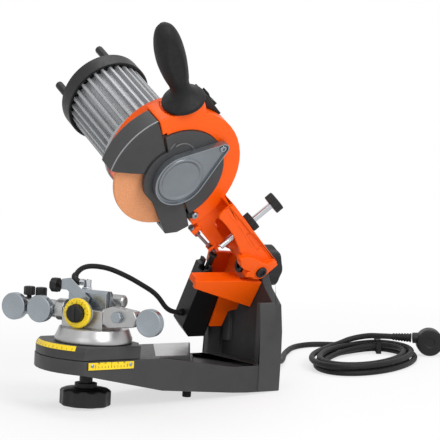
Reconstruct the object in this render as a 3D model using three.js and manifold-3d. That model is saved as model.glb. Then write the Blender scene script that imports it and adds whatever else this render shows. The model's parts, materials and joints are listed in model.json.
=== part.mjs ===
// Electric chainsaw sharpener with hydraulic vise: bench chain grinder, millimetres, +Z up.
import * as THREE from 'three';
import { mergeVertices } from 'three/addons/utils/BufferGeometryUtils.js';
import Module from 'manifold-3d';

const wasm = await Module();
wasm.setup();

// Running clearance between touching pieces, and the weld distance for shared corners.
const gap = 0.3;
const weld = 1e-4;
// Reach of the cutting solids past everything they cut.
const overrun = 100;

// Stance: the machine leans back on its lock knob, and the head leans over the chain.
const stance = {
  pitch: 3.6,
  tilt: 30,
  tiltHeight: 153,
  armAngle: 36,
  armLength: 206.5,
  pinY: 224.5,
  pinHeight: 18.5,
  swivel: 28,
  rearY: 250,
};

// Grinding wheel, the size that scales everything else.
const wheel = { radius: 72.5, bore: 11.1, halfWidth: 2.4, edge: 0.6, steps: 48 };
const wheelRoom = { slot: 3.5, hood: 8, ring: 16 };

// Base casting: plan outline, side profile, deck, recess and tower.
const base = {
  noseY: -60,
  noseSteps: 10,
  creaseX: 57,
  creaseY: -38,
  sides: [[58, 75], [60, 177], [60.5, 250]],
  profile: [
    [-60, 31.4], [-38, 31.4], [73, 8.7], [177, 1], [200, 0], [250, 0],
    [250, 33.6], [175, 33.6], [73, 48.3], [-60, 48.3],
  ],
  deck: [[57, 60], [43, 121], [33, 128.6], [-55, 190.3], [-57, 190.3], [-57.5, 60]],
  deckZ: [20, 48.3],
  recess: [[53, 80], [56, 120], [56, 214], [-56, 214], [-56, 196], [35, 132], [47, 123]],
  recessZ: [30, 70],
  cavity: [-52, 52, 84, 236],
  cavityZ: [-5, 25],
  rib: [-3, 3, 84, 236],
  ribZ: [6, 26],
  slot: [-9, 9, -30, 30],
  slotZ: [-5, 60],
};
const tower = {
  back: [
    [60.5, 0], [61.5, 48], [61, 76], [56.5, 109], [36, 128.5], [29, 140],
  ],
  backY: [237.3, 250],
  bossRadius: 26,
  bossSteps: 18,
  wall: [[60.5, 0], [61.5, 48], [61, 76], [57.5, 112], [50, 112], [50, 0]],
  wallY: [215, 240],
  boltBore: 5.5,
  pad: [[44, 52], [44, 96], [30, 96], [30, 52]],
  padY: [233, 240],
};
const peg = { radius: 5.5, x: 26.7, y: 130.8, bottom: -6.5, top: 24.7, steps: 12 };
const sideScale = { y: [-34, 29], z: [38.3, 47], x: [58.2, 59.2] };

// Cord: gland, free stretch, hank, tie, lead, strain relief and plug, on the floor.
const cord = {
  radius: 4,
  sides: 8,
  gland: { x: -38, z: 48, reach: 22, flange: 9, nose: 5.6, base: 7.5, lip: 3, steps: 14 },
  floorTurn: 54,
  spacing: 16,
  free: [
    [213.6, 202.8, 43.5], [227.1, 218.2, 32], [237.9, 240.8, 17], [244.5, 269.1, 7.5],
    [249, 302, 4.3], [252.3, 336.6, 4.2], [258.8, 370.5, 4.2], [266, 394.6, 4.2], [278, 413, 4.2],
    [296, 424, 4.2], [317, 424.5, 4.2], [339, 418, 4.4], [360, 408, 4.9],
  ],
  exitRun: 6,
  endRun: 8,
  hankCentre: [361, 293],
  hankHalfWidth: 70,
  hankHalfDepth: 102,
  hankShear: 0.27,
  hankPitch: [10.5, 13],
  hankStart: 80,
  hankTurn: 1370,
  hankClimb: 180,
  hankStep: 15,
  hankSides: 6,
  hankZ: 4.15,
  layerRise: 8.8,
  checkStep: 5,
  checkFrom: 60,
  tieLift: 1.3,
  tieAt: 90,
  tieReach: 40,
  lead: [[334, 365.5, 16.5], [346, 372.5, 20], [361, 376, 23], [376, 373, 25.4], [388, 367.5, 26]],
  reliefFrom: [406, 362, 26],
  reliefTo: [433.6, 357, 25],
  relief: { base: 6.6, nose: 5, ribs: 5, dip: 0.9, steps: 10 },
  plug: { radius: 19, halfDepth: 11, edge: 3, steps: 24, neck: 7.5, neckGap: 1.4, neckEnd: 446,
    pinRadius: 2.4, pinReach: 30, pinSpread: 9.5, lift: 0.2, pinSteps: 8 },
  plugAt: [459, 357],
  tie: { across: 388.5, away: [367.4, 404.6], z: [1.15, 18.8], wall: 0.9, halfWidth: 3.5, corner: 3 },
};

// Vise carriage, its lock knob and the yellow swivel scale on its nose.
const carriage = {
  noseY: -59,
  creaseX: 55.5,
  creaseY: -38,
  rear: [[56, 40], [40, 45], [30, 54]],
  z: [48.7, 64.3],
  steps: 10,
  bore: 8.4,
  boreZ: [30, 66],
  scaleZ: [64.6, 65.4],
  scaleInset: [1, 6.5],
  scaleTurn: [-34, 24],
  scaleSteps: 14,
};
const lockKnob = {
  radius: 31, z: [-13.7, 6.4], lobes: 10, dent: 1.6, shaft: 8, shaftTop: 60, collar: 12.5, collarZ: 10,
  steps: 50,
};

// Vise, in its own swivelled frame.
const vise = {
  disc: [[0, 64.7], [47, 64.7], [47, 70], [45, 74], [42, 81.9], [0, 81.9]],
  discX: 6.5,
  discY: 2,
  discSteps: 32,
  blockX: [-27, 29],
  blockY: [-19, 31],
  blockZ: [80, 104],
  shoulder: [[-27, 80], [29, 80], [29, 98], [20, 121], [-20, 121], [-27, 108]],
  shoulderY: [9.3, 31],
  bossRadius: 15,
  bossY: [-27, -18],
  dial: [0.7, 100.2],
  dialRing: { outer: 17.9, inner: 11.4, y: [-31.5, -27.3], steps: 28, chamfer: 1 },
  dialKnob: { radius: 11, y: [-40, -27.6], steps: 20, nose: 8.5, grip: 1.2, bar: 2, stem: 5 },
  jawX: [-25, 27],
  fixedY: [-8.2, -1.1],
  fixedZ: [104.3, 126.5],
  movingY: [1.3, 8.6],
  movingZ: [104.6, 126],
  jawChamfer: 3.4,
  leftTube: { radius: 10.8, x: [-104, -27.4], y: -6.5, z: 100, steps: 20, chamfer: 1 },
  socket: { outer: 13.4, inner: 11.1, x: [-38, -26] },
  rollers: [[-90.8, 100], [-54.6, 100], [95.8, 97]],
  roller: { radius: 16.5, y: [-28, -18.4], steps: 24, chamfer: 1 },
  axle: { radius: 3, end: -8 },
  rightTube: { radius: 6, x: [63.4, 104], y: -9, z: 97, steps: 18, chamfer: 1, bore: 6.4, boreX: [63, 76] },
  ear: [[27, 90], [27, 106], [40, 110.5], [70, 107], [74.5, 99], [69, 88], [50, 86], [36, 84]],
  earY: [-17, -1],
  bolt: { x: 49.8, z: 98.9, radius: 4, head: 7.2, sides: 6, y: [-24, -17.3], tail: 5 },
  armKnobs: [-81.5, -64.6],
  armKnob: { radius: 7, z: [113.2, 124], stem: 3, stemZ: 104, lobes: 6, dent: 0.8, steps: 24 },
  stop: [[-32, 137.5], [-21, 139.7], [7, 117], [5, 110], [-4, 109.5], [-24, 125], [-32, 125]],
  stopY: [-14.4, -10.6],
  stopPivot: [0.5, 113.6],
  stopBore: 2.3,
  stopPin: { radius: 2, y: [-16, -5.5], hole: [-9, -5.2] },
  stopKnob: { radius: 9, x: [-46, -36.4], stem: 2.4, stemX: -32.3, z: 129.5, y: -12.5, steps: 24,
    lobes: 8, dent: 0.8 },
  slave: { radius: 8.1, x: [7, 34], y: 23.5, z: 113, cap: 6, step: 2, steps: 20, seat: 8.6 },
  fitting: { x: -13, y: 15, z: [121.4, 136.5], radius: 5, hex: 7, sides: 6, hexZ: 127, steps: 14, arm: 4.2,
    armX: -22.5, armZ: 132.5 },
};
const hose = {
  radius: 3.2,
  sides: 8,
  start: 0.4,
  run: 7,
  spacing: 12,
  points: [
    [-37.5, 4.5, 141], [-41.5, 14, 148], [-41.5, 27, 151.2], [-40.5, 42, 149.8], [-39.8, 58, 145.2],
    [-38, 80, 136.6], [-36.6, 100, 126.4], [-35, 118, 116], [-34.6, 133, 105.4], [-35.4, 144, 97],
  ],
};

// Tilting head: bracket, pin, spring, pump and knob. x runs along the pin.
const head = {
  plateX: [30, 35],
  plate: [
    [133, 2], [205, 2], [237, -1], [236.7, -2], [235, -40], [185, -24.5], [135, -8.7],
  ],
  flangeY: [137, 205],
  flangeZ: [-2, 2],
  flangeX: [15, 32],
  farPlate: [[192, 10], [200, 9.3], [203, 0.6], [237, -1], [236.7, -2], [235, -40], [205, -31], [196, -13]],
  frontX: [15, 32],
  frontY: [137, 140],
  lipZ: -7,
  webX: 32,
  webY: [229, 236.9],
  web: [[-27.4, 10], [27.4, 10], [27.4, -2], [32, -6], [32, -40], [-32, -40], [-32, -6], [-27.4, -2]],
  hub: 25.5,
  barrel: { radius: 11.8, x: [-27.4, 27.4], bore: 5.4, steps: 20, reach: 28 },
  springSlot: { x: [10, 22], radius: 9.2 },
  tab: [[229, -30], [229, -6], [212, -12], [197, -37], [198.5, -56], [200, -84], [219.5, -84], [220, -60],
    [232.5, -57], [232.5, -39]],
  tabX: [13, 16.5],
  boltBore: 5.5,
  boltSeat: { radius: 8.6, y: [212, 229] },
};
const pin = { radius: 5, x: [-39.4, 39.4], head: 7.4, headX: 42, clip: 7, clipX: -41.6, steps: 16 };
const spring = { wire: 0.9, coil: 7.4, turns: 4, x: [12, 20.4], steps: 8, sides: 5 };
const pump = {
  coverX: [-14, 11],
  cover: [[162, 0.5], [167.4, 2], [167, 7.4], [172, 6], [173, -3], [180.6, -12.4], [191, -18], [198, -18],
    [198, -50], [203, -56], [203, -104], [178, -104], [162, -88]],
  coverWall: 2.2,
  caveY: [164.2, 195],
  caveZ: [-86, -24],
  neck: 7.2,
  neckZ: [-26, 12],
  notchX: [-3.6, 7.6],
  notchY: [161, 168],
  notchZ: [-4.6, 12],
  cylinder: { x: 0, y: 173, radius: 7.5, z: [-84, -28], step: 3, neck: 6.4, neckZ: -9, bore: 4.4,
    steps: 16, port: 4.2, portY: 155, portZ: -72, floor: -62 },
  piston: { radius: 4, z: [-38, 19.7], button: 5.6, buttonZ: [16.7, 19.7], round: 0.8, steps: 14 },
  portHole: 4.6,
};
const tiltBolt = { radius: 5, head: 8.2, y: [220.5, 228.6], end: 262, steps: 16, socket: 3.4, socketY: 224 };
const tiltKnob = { radius: 28, y: [250.4, 274.6], lobes: 8, dent: 2.2, bore: 5.5, boreEnd: 263, steps: 48,
  crown: 3 };

// Swinging arm and wheel guard. a runs from the pin to the wheel, n away from the chain.
const ringSide = 84.5;
const armEnd = stance.armLength - ringSide;
const arm = {
  top: { tail: -14, low: 23.4, high: 31.6, thick: 6, tailThick: 3 },
  topX: 33,
  skirt: [[-14, 20], [2, 11], [16, -3], [48.7, -2.4], [85.4, -0.2], [103.7, 1.1]],
  skirtNose: [[-6, 4], [0.5, 9], [1.6, 14], [0.8, 26]],
  skirtX: [28.6, 31.4],
  strap: [[16, -3], [48.7, -2.4], [85.4, -0.2], [103.7, 1.1]],
  strapNose: [[-6, 4], [0.5, 9], [1.6, 14], [-1, 18.4]],
  strapTop: [[103.9, 17.8], [87, 18.6], [68.4, 16], [45.3, 12.3], [24, 10.6]],
  strapX: [31, 33],
  web: [[30, 24], [44, -6], [50, -21]],
  webNose: [[2, -18], [2, 28]],
  webX: [-1, 5],
  cheek: [[-11.6, 3], [-9, -7], [-3, -12.6], [5, -14.4], [12, -19], [15.5, -14], [14, -9.6], [24, -13.4],
    [32, -14], [39, -11], [45, -8], [38, 1], [26, 6], [14, 9], [4, 12], [-5, 22], [-12, 22]],
  cheekX: [28.6, 39],
  cheekReach: 42,
  hub: 12,
  bore: 5.35,
  hubSteps: 20,
  panel: [[27, 14.6], [64, 18.6], [58, 24.6], [28, 22.8]],
  panelX: [30.2, 34],
  screwBore: 4.35,
  cup: { centre: [4, 2], wall: 4.2, play: 0.4, x: [-26.5, 10], face: 4.4, back: 4.2, steps: 48 },
  collar: { centre: [-2, 13], radius: 68, x: [-42, -25] },
  neck: { radius: 56, x: [-49.6, -41] },
  shaftBore: 17,
  shaftBoreX: [-60, -20],
  hoodCut: [158, 217],
  lowCut: [214, 345.4],
  cutX: [-30, 20],
  wedgeSteps: 12,
  boss: { radius: 24, turn: 158.9, x: -8, foot: [-61.4, 68.1], span: [-45, -0.3], clipX: [-32, 10],
    clipY: [-140, 20], clipZ: [0, 140], steps: 24, clear: 28.9, clearSpan: [0, 30], boxClear: 24.5 },
};
const guard = {
  wall: 4,
  x: [-24.6, 10],
  from: 158.6,
  to: 215.5,
  steps: 16,
  hubRadius: 39.5,
  plate: 2.6,
  margin: 2,
};
const lower = {
  outline: [[11.8, -38.2], [67.3, -54.4], [79.3, -42.9], [85, -27], [63.8, -17.8], [38.7, -10.6], [37, -15.2],
    [33, -22.6], [27, -29.5], [19.5, -34.9]],
  x: [-12, 9.8],
  slotX: [-9.4, 5],
};
const sideCover = { radius: 67.6, x: [7.2, 13], from: -13.8, to: 156.8, hub: 39.1, bore: 14, steps: 40 };
const nutCover = {
  centre: [0, 0],
  radius: 34.5,
  tipInset: 0.5,
  tipTurn: 75.5,
  tipRadius: 8.4,
  x: [13.3, 17.6],
  rimX: 21.5,
  rim: 5.5,
  domeRadius: 21,
  domeX: 20,
  steps: 20,
  cave: 23,
  caveX: 15.4,
  tipRim: 2.4,
  tipHole: 2.2,
  reach: 30,
};
const screwTop = { radius: 4.2, x: [17.9, 21], shank: 1.9, shankX: 13.4, steps: 12 };
const screwSide = { outset: 6.4, turn: -11.7, radius: 4.2, x: [10.3, 13.2], steps: 12 };
const handle = {
  profile: [
    [0, 0.4], [28, 0.4], [28.5, 3], [25.8, 5.6], [18.8, 10], [13.4, 16], [11.2, 23], [12, 29], [14.2, 37],
    [16.2, 50], [17.3, 64], [17.2, 78], [16.2, 89], [14, 100], [10.4, 109], [5.4, 114.6], [0, 116],
  ],
  steps: 24,
  panelX: 14.8,
};
const box = {
  outline: [[-47, 70], [-48, 93], [-28, 92.4], [2, 91.6], [6, 90.8], [6, 80]],
  x: [-31, -3],
  clear: 0.4,
  seat: [[-42, 95], [-18, 94.2], [-18, 90], [-42, 90.8]],
  seatX: [-25, -11],
};
const rocker = {
  outline: [[-40.8, 92.3], [-30, 91], [-19.2, 91.7], [-18.8, 96.2], [-30, 94], [-41.2, 96.8]],
  x: [-24.4, -11.6],
  pivot: [-30, 92.2],
  radius: 1.4,
};

// Motor: ribbed aluminium housing, black cap with feet, stator and rotor.
const motor = {
  flange: { radius: 58, x: [-54.6, -49.9] },
  core: 44.5,
  inner: 41,
  x: [-163.5, -49.9],
  ribs: 30,
  ribTip: 50.5,
  ribHalf: [2.1, 1.5],
  ribX: [-163.5, -54],
  steps: 40,
  shaftBore: 8.4,
  plateX: -54.6,
  wholeTurn: 360,
};
const cap = {
  radius: 53,
  shoulder: 46,
  x: [-187, -163.9],
  lip: 42,
  shoulderX: -182.5,
  caveX: -180.5,
  bossRadius: 10,
  bossX: -165.6,
  steps: 40,
  bearing: 6.4,
  bearingX: -174.4,
  posts: 4,
  post: 5.2,
  postRadius: 47,
  postX: -208,
  postTurn: 45,
  postSteps: 8,
};
const stator = { outer: 40.6, inner: 30.6, x: [-146, -82], steps: 28 };
const shaft = {
  profile: [
    [0, -173.6], [5.6, -173.6], [5.6, -142], [29.8, -142], [29.8, -86], [8, -86], [8, -9.6],
    [24, -9.6], [24, -2.7], [10.8, -2.7], [10.8, 2.2], [7, 2.2], [7, 9.6], [0, 9.6],
  ],
  steps: 20,
};
const flangeNut = { radius: 23, x: [2.7, 6.6], hex: 12.5, hexX: 12.4, bore: 7.3, boreX: 10.2,
  sides: 6, steps: 24 };
const depth = {
  a: 68, x: 22.5, radius: 4, low: -16.2, high: 70, tip: 2.6, steps: 30, screwSteps: 10,
  knob: { radius: 12.6, h: [64.6, 75.2], lobes: 12, dent: 0.8, bore: 4.3, boreEnd: 70.3 },
  nut: { radius: 12, thick: 8.6, lobes: 12, dent: 0.8, bore: 4.5 },
};
const rod = { n: -26.6, radius: 2, a: [44, 106.6], x: 2, head: 4, headA: 109.4, nut: 4.6, nutA: [91.7, 97.7],
  sides: 6, steps: 14, lugs: [[56, 61], [98, 106]], lugX: [-2.4, 6.4], lugN: [-30.6, -17], bore: 2.35 };

// Colours and finishes.
const paint = (color, roughness, metalness) =>
  new THREE.MeshStandardMaterial({ color, roughness, metalness });
const orange = paint(0xf4661c, 0.35, 0.1);
const grey = paint(0x4a4b4d, 0.5, 0.2);
const hoodGrey = paint(0x4c4e50, 0.45, 0.1);
const black = paint(0x1c1c1d, 0.5, 0);
const rubber = paint(0x161616, 0.8, 0);
const steel = paint(0xb9bcbf, 0.3, 0.9);
const blackSteel = paint(0x1e1f20, 0.45, 0.6);
const alloy = paint(0xb4b7ba, 0.4, 0.7);
const chrome = paint(0xe2e4e6, 0.12, 1);
const yellow = paint(0xf5cf14, 0.5, 0);
const stone = paint(0xdc9a62, 0.9, 0);
const copper = paint(0x8c5a36, 0.6, 0.4);

// Geometry helpers: closed solids by joining, cutting and crossing.
const half = 0.5;
const full = Math.PI * 2;
const rad = (degrees) => THREE.MathUtils.degToRad(degrees);
const polar = (radius, degrees) => [radius * Math.cos(rad(degrees)), radius * Math.sin(rad(degrees))];
const mid = (pair) => (pair[0] + pair[1]) * half;

function welded(geometry) {
  const copy = geometry.clone();
  copy.deleteAttribute('normal');
  copy.deleteAttribute('uv');
  return mergeVertices(copy, weld);
}

function toSolid(geometry) {
  const clean = welded(geometry);
  const vertProperties = Float32Array.from(clean.attributes.position.array);
  const triVerts = Uint32Array.from(clean.index.array);
  return new wasm.Manifold(new wasm.Mesh({ numProp: 3, vertProperties, triVerts }));
}

function fromSolid(solid) {
  const mesh = solid.getMesh();
  const geometry = new THREE.BufferGeometry();
  geometry.setAttribute('position', new THREE.BufferAttribute(mesh.vertProperties, 3));
  geometry.setIndex(new THREE.BufferAttribute(mesh.triVerts, 1));
  return geometry;
}

const join = (first, ...rest) =>
  fromSolid(rest.reduce((sum, next) => sum.add(toSolid(next)), toSolid(first)));
const cut = (first, ...rest) =>
  fromSolid(rest.reduce((sum, next) => sum.subtract(toSolid(next)), toSolid(first)));
const cross = (first, ...rest) =>
  fromSolid(rest.reduce((sum, next) => sum.intersect(toSolid(next)), toSolid(first)));

// Outline extrusions along z, x and y. The outline turns anticlockwise or is turned round.
function slab(points, [z0, z1]) {
  const shape = new THREE.Shape(points.map(([u, v]) => new THREE.Vector2(u, v)));
  const geometry = new THREE.ExtrudeGeometry(shape, { depth: z1 - z0, bevelEnabled: false, steps: 1 });
  geometry.translate(0, 0, z0);
  return geometry;
}

function slabX(points, span) {
  const turn = new THREE.Matrix4().makeBasis(
    new THREE.Vector3(0, 1, 0), new THREE.Vector3(0, 0, 1), new THREE.Vector3(1, 0, 0));
  return slab(points, span).applyMatrix4(turn);
}

function slabY(points, [y0, y1]) {
  const turn = new THREE.Matrix4().makeBasis(
    new THREE.Vector3(1, 0, 0), new THREE.Vector3(0, 0, 1), new THREE.Vector3(0, -1, 0));
  return slab(points, [-y1, -y0]).applyMatrix4(turn);
}

function block([x0, x1], [y0, y1], [z0, z1]) {
  const geometry = new THREE.BoxGeometry(x1 - x0, y1 - y0, z1 - z0);
  geometry.translate((x0 + x1) * half, (y0 + y1) * half, (z0 + z1) * half);
  return geometry;
}

// Turned solids: profile of [radius, station] from low to high station on the outside.
function turned(axis, profile, steps, [u, v] = [0, 0]) {
  const points = profile.map(([r, s]) => new THREE.Vector2(r, s));
  const geometry = new THREE.LatheGeometry(points, steps);
  if (axis === 'x') {
    geometry.rotateZ(-Math.PI * half);
    geometry.translate(0, u, v);
  } else if (axis === 'y') {
    geometry.translate(u, 0, v);
  } else {
    geometry.rotateX(Math.PI * half);
    geometry.translate(u, v, 0);
  }
  return geometry;
}

const bar = (axis, radius, [s0, s1], steps, at) =>
  turned(axis, [[0, s0], [radius, s0], [radius, s1], [0, s1]], steps, at);
const tubeBar = (axis, outer, inner, [s0, s1], steps, at) =>
  turned(axis, [[inner, s0], [outer, s0], [outer, s1], [inner, s1], [inner, s0]], steps, at);
const circle = (radius, steps, [u, v] = [0, 0], start = 0, sweep = full) =>
  Array.from({ length: steps }, (_, i) => {
    const turn = start + (sweep * i) / steps;
    return [u + radius * Math.cos(turn), v + radius * Math.sin(turn)];
  });
const lobed = (radius, lobes, dent, steps, [u, v] = [0, 0]) =>
  Array.from({ length: steps }, (_, i) => {
    const turn = (full * i) / steps;
    const r = radius - dent * (half + half * Math.cos(lobes * turn));
    return [u + r * Math.cos(turn), v + r * Math.sin(turn)];
  });

// A plate outline with a bowed nose, mirrored about x = 0.
function nosePlan(noseY, creaseX, creaseY, sides, steps) {
  const sag = creaseY - noseY;
  const radius = (creaseX * creaseX + sag * sag) / (sag + sag);
  const spread = Math.asin(creaseX / radius);
  const nose = Array.from({ length: steps + 1 }, (_, i) => {
    const turn = -spread + (spread + spread) * (i / steps);
    return [radius * Math.sin(turn), noseY + radius - radius * Math.cos(turn)];
  });
  const right = sides.map(([x, y]) => [x, y]);
  const left = sides.map(([x, y]) => [-x, y]).reverse();
  return [...nose, ...right, ...left];
}

// The outline round two circles, for the pear-shaped cover.
function pearOutline(c1, r1, c2, r2, steps) {
  const dx = c2[0] - c1[0];
  const dy = c2[1] - c1[1];
  const heading = Math.atan2(dy, dx);
  const lean = Math.acos((r1 - r2) / Math.hypot(dx, dy));
  const arcs = [];
  for (let i = 0; i <= steps; i += 1) {
    const turn = heading + lean + (full - lean - lean) * (i / steps);
    arcs.push([c1[0] + r1 * Math.cos(turn), c1[1] + r1 * Math.sin(turn)]);
  }
  const few = Math.round(steps * half);
  for (let i = 0; i <= few; i += 1) {
    const turn = heading - lean + (lean + lean) * (i / few);
    arcs.push([c2[0] + r2 * Math.cos(turn), c2[1] + r2 * Math.sin(turn)]);
  }
  return arcs;
}

// A tube swept along points with flat ends, its frame carried without twist.
function sweep(points, radius, sides) {
  const count = points.length;
  const tangents = points.map((p, i) => {
    const before = points[Math.max(i - 1, 0)];
    const after = points[Math.min(i + 1, count - 1)];
    return after.clone().sub(before).normalize();
  });
  const up = new THREE.Vector3(0, 0, 1);
  const side = new THREE.Vector3().crossVectors(up, tangents[0]).normalize();
  const positions = [];
  const index = [];
  points.forEach((p, i) => {
    side.addScaledVector(tangents[i], -side.dot(tangents[i])).normalize();
    const top = new THREE.Vector3().crossVectors(tangents[i], side);
    for (let k = 0; k < sides; k += 1) {
      const turn = (full * (k + half)) / sides;
      const q = p.clone().addScaledVector(side, radius * Math.cos(turn));
      q.addScaledVector(top, radius * Math.sin(turn));
      positions.push(q.x, q.y, q.z);
    }
  });
  for (let i = 0; i < count - 1; i += 1) {
    for (let k = 0; k < sides; k += 1) {
      const a = i * sides + k;
      const b = i * sides + ((k + 1) % sides);
      index.push(a, b, b + sides, a, b + sides, a + sides);
    }
  }
  const last = (count - 1) * sides;
  for (let k = 1; k < sides - 1; k += 1) {
    index.push(0, k + 1, k, last, last + k, last + k + 1);
  }
  const geometry = new THREE.BufferGeometry();
  geometry.setAttribute('position', new THREE.Float32BufferAttribute(positions, 3));
  geometry.setIndex(index);
  return geometry;
}

const vec = (p) => new THREE.Vector3(p[0], p[1], p[2]);
const route = (points) => new THREE.CatmullRomCurve3(points, false, 'centripetal');

// A round cord drawn along its route.
function cordTube(path, radius, sides, spacing) {
  const shape = new THREE.Shape(circle(radius, sides).map(([u, v]) => new THREE.Vector2(u, v)));
  const steps = Math.round(path.getLength() / spacing);
  return new THREE.ExtrudeGeometry(shape, { steps, bevelEnabled: false, extrudePath: path });
}
const runLength = (points) =>
  points.slice(1).reduce((sum, p, i) => sum + p.distanceTo(points[i]), 0);

// Assembly groups.
const root = new THREE.Group();
root.name = 'electric_chainsaw_sharpener';
const machine = new THREE.Group();
machine.name = 'machine';
machine.rotation.x = -rad(stance.pitch);
machine.position.z = stance.rearY * Math.sin(rad(stance.pitch));
const viseGroup = new THREE.Group();
viseGroup.name = 'vise';
viseGroup.rotation.z = rad(stance.swivel);
const headGroup = new THREE.Group();
headGroup.name = 'head';
headGroup.position.z = stance.tiltHeight;
headGroup.rotation.y = rad(stance.tilt);
const armGroup = new THREE.Group();
armGroup.name = 'arm';
armGroup.position.set(0, stance.pinY, stance.pinHeight);
armGroup.rotation.x = -rad(stance.armAngle);
const wheelGroup = new THREE.Group();
wheelGroup.name = 'wheel_head';
wheelGroup.position.y = -stance.armLength;
armGroup.add(wheelGroup);
headGroup.add(armGroup);
machine.add(headGroup, viseGroup);
root.add(machine);

function add(group, name, geometry, material) {
  const clean = welded(geometry);
  clean.computeVertexNormals();
  const mesh = new THREE.Mesh(clean, material);
  mesh.name = name;
  group.add(mesh);
  return mesh;
}

// Base casting.
const plan = nosePlan(base.noseY, base.creaseX, base.creaseY, base.sides, base.noseSteps);
const shell = cross(slab(plan, [-overrun, overrun]), slabX(base.profile, [-overrun, overrun]));
const mirrorX = (points) => points.map(([x, y]) => [-x, y]).reverse();
const bossArc = circle(tower.bossRadius, tower.bossSteps, [0, stance.tiltHeight], 0, Math.PI);
const bossFar = [-tower.bossRadius, stance.tiltHeight];
const backOutline = [...tower.back, ...bossArc, bossFar, ...mirrorX(tower.back)];
const towerBack = slabY(backOutline, tower.backY);
const wallNear = slabY(tower.wall, tower.wallY);
const wallFar = slabY(mirrorX(tower.wall), tower.wallY);
const padNear = slabY(tower.pad, tower.padY);
const padFar = slabY(mirrorX(tower.pad), tower.padY);
const [slotX0, slotX1, slotY0, slotY1] = base.slot;
const [cavX0, cavX1, cavY0, cavY1] = base.cavity;
const [ribX0, ribX1, ribY0, ribY1] = base.rib;
const castingOuter = join(shell, slab(base.deck, base.deckZ), towerBack, wallNear, wallFar, padNear, padFar);
const castingCut = cut(
  castingOuter,
  slab(base.recess, base.recessZ),
  block([slotX0, slotX1], [slotY0, slotY1], base.slotZ),
  block([cavX0, cavX1], [cavY0, cavY1], base.cavityZ),
  bar('y', tower.boltBore, [tower.wallY[0], stance.rearY + gap], pin.steps, [0, stance.tiltHeight]),
);
const casting = join(castingCut, block([ribX0, ribX1], [ribY0, ribY1], base.ribZ));
add(machine, 'base_casting', casting, grey);
for (const [side, sign] of [['left', -1], ['right', 1]]) {
  const pegProfile = [
    [0, peg.bottom], [peg.radius, peg.bottom], [peg.radius, peg.top], [0, peg.top],
  ];
  add(machine, `bench_peg_${side}`, turned('z', pegProfile, peg.steps, [sign * peg.x, peg.y]), rubber);
}
add(machine, 'side_scale_plate', block(sideScale.x, sideScale.y, sideScale.z), yellow);

// Vise carriage with the swivel scale on its nose, and the lock knob below the slot.
const carriagePlan = nosePlan(
  carriage.noseY, carriage.creaseX, carriage.creaseY, carriage.rear, carriage.steps);
const carriageBody = cut(
  slab(carriagePlan, carriage.z),
  bar('z', carriage.bore, carriage.boreZ, pin.steps),
);
add(machine, 'vise_carriage', carriageBody, grey);
const sag = carriage.creaseY - carriage.noseY;
const noseRadius = (carriage.creaseX * carriage.creaseX + sag * sag) / (sag + sag);
const noseCentre = carriage.noseY + noseRadius;
const scaleArc = (inset, order) =>
  Array.from({ length: carriage.scaleSteps + 1 }, (_, i) => {
    const part = order ? i : carriage.scaleSteps - i;
    const [t0, t1] = carriage.scaleTurn;
    const turn = rad(t0 + ((t1 - t0) * part) / carriage.scaleSteps);
    const r = noseRadius - inset;
    return [r * Math.sin(turn), noseCentre - r * Math.cos(turn)];
  });
const scaleOutline = [...scaleArc(carriage.scaleInset[0], true), ...scaleArc(carriage.scaleInset[1], false)];
add(machine, 'swivel_scale', slab(scaleOutline, carriage.scaleZ), yellow);
const knobDisc = slab(lobed(lockKnob.radius, lockKnob.lobes, lockKnob.dent, lockKnob.steps), lockKnob.z);
const knobStem = turned('z', [
  [0, lockKnob.z[0] + lockKnob.dent], [lockKnob.collar, lockKnob.z[0] + lockKnob.dent],
  [lockKnob.collar, lockKnob.collarZ], [lockKnob.shaft, lockKnob.collarZ],
  [lockKnob.shaft, lockKnob.shaftTop], [0, lockKnob.shaftTop],
], pin.steps);
add(machine, 'vise_lock_knob', join(knobDisc, knobStem), black);

// Vise body, jaws and dial.
const viseDisc = turned('z', vise.disc, vise.discSteps, [vise.discX, vise.discY]);
const viseBlock = block(vise.blockX, vise.blockY, vise.blockZ);
const viseShoulder = slabY(vise.shoulder, vise.shoulderY);
const dialBoss = bar('y', vise.bossRadius, vise.bossY, vise.discSteps, vise.dial);
const earPlate = slabY(vise.ear, vise.earY);
const stemHole = bar('y', vise.dialKnob.stem + gap, [vise.bossY[0] - gap, vise.blockY[0]],
  vise.dialKnob.steps, vise.dial);
const slaveSeat = bar('x', vise.slave.seat, [vise.slave.x[0] - gap, vise.slave.x[1] + vise.slave.cap],
  vise.slave.steps, [vise.slave.y, vise.slave.z]);
const slaveSlot = block([vise.slave.x[0] - gap, vise.slave.x[1] + vise.slave.cap],
  [vise.slave.y - vise.slave.seat, vise.slave.y + vise.slave.seat],
  [vise.slave.z, vise.slave.z + vise.slave.seat + vise.slave.seat]);
const boltHole = bar('y', vise.bolt.radius + gap, [vise.earY[0] - gap, vise.earY[1] + gap],
  vise.dialKnob.steps, [vise.bolt.x, vise.bolt.z]);
const stopHole = bar('y', vise.stopPin.radius + gap, vise.stopPin.hole, vise.dialKnob.steps,
  vise.stopPivot);
const socket = bar('x', vise.socket.outer, vise.socket.x, vise.leftTube.steps,
  [vise.leftTube.y, vise.leftTube.z]);
const socketBore = bar('x', vise.socket.inner, [vise.socket.x[0] - gap, vise.blockX[0]],
  vise.leftTube.steps, [vise.leftTube.y, vise.leftTube.z]);
const earBore = bar('x', vise.rightTube.bore, vise.rightTube.boreX, vise.rightTube.steps,
  [vise.rightTube.y, vise.rightTube.z]);
const viseBody = cut(join(viseDisc, viseBlock, viseShoulder, dialBoss, earPlate, socket),
  stemHole, slaveSeat, slaveSlot, boltHole, socketBore, earBore);
add(viseGroup, 'vise_body', viseBody, alloy);
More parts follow.
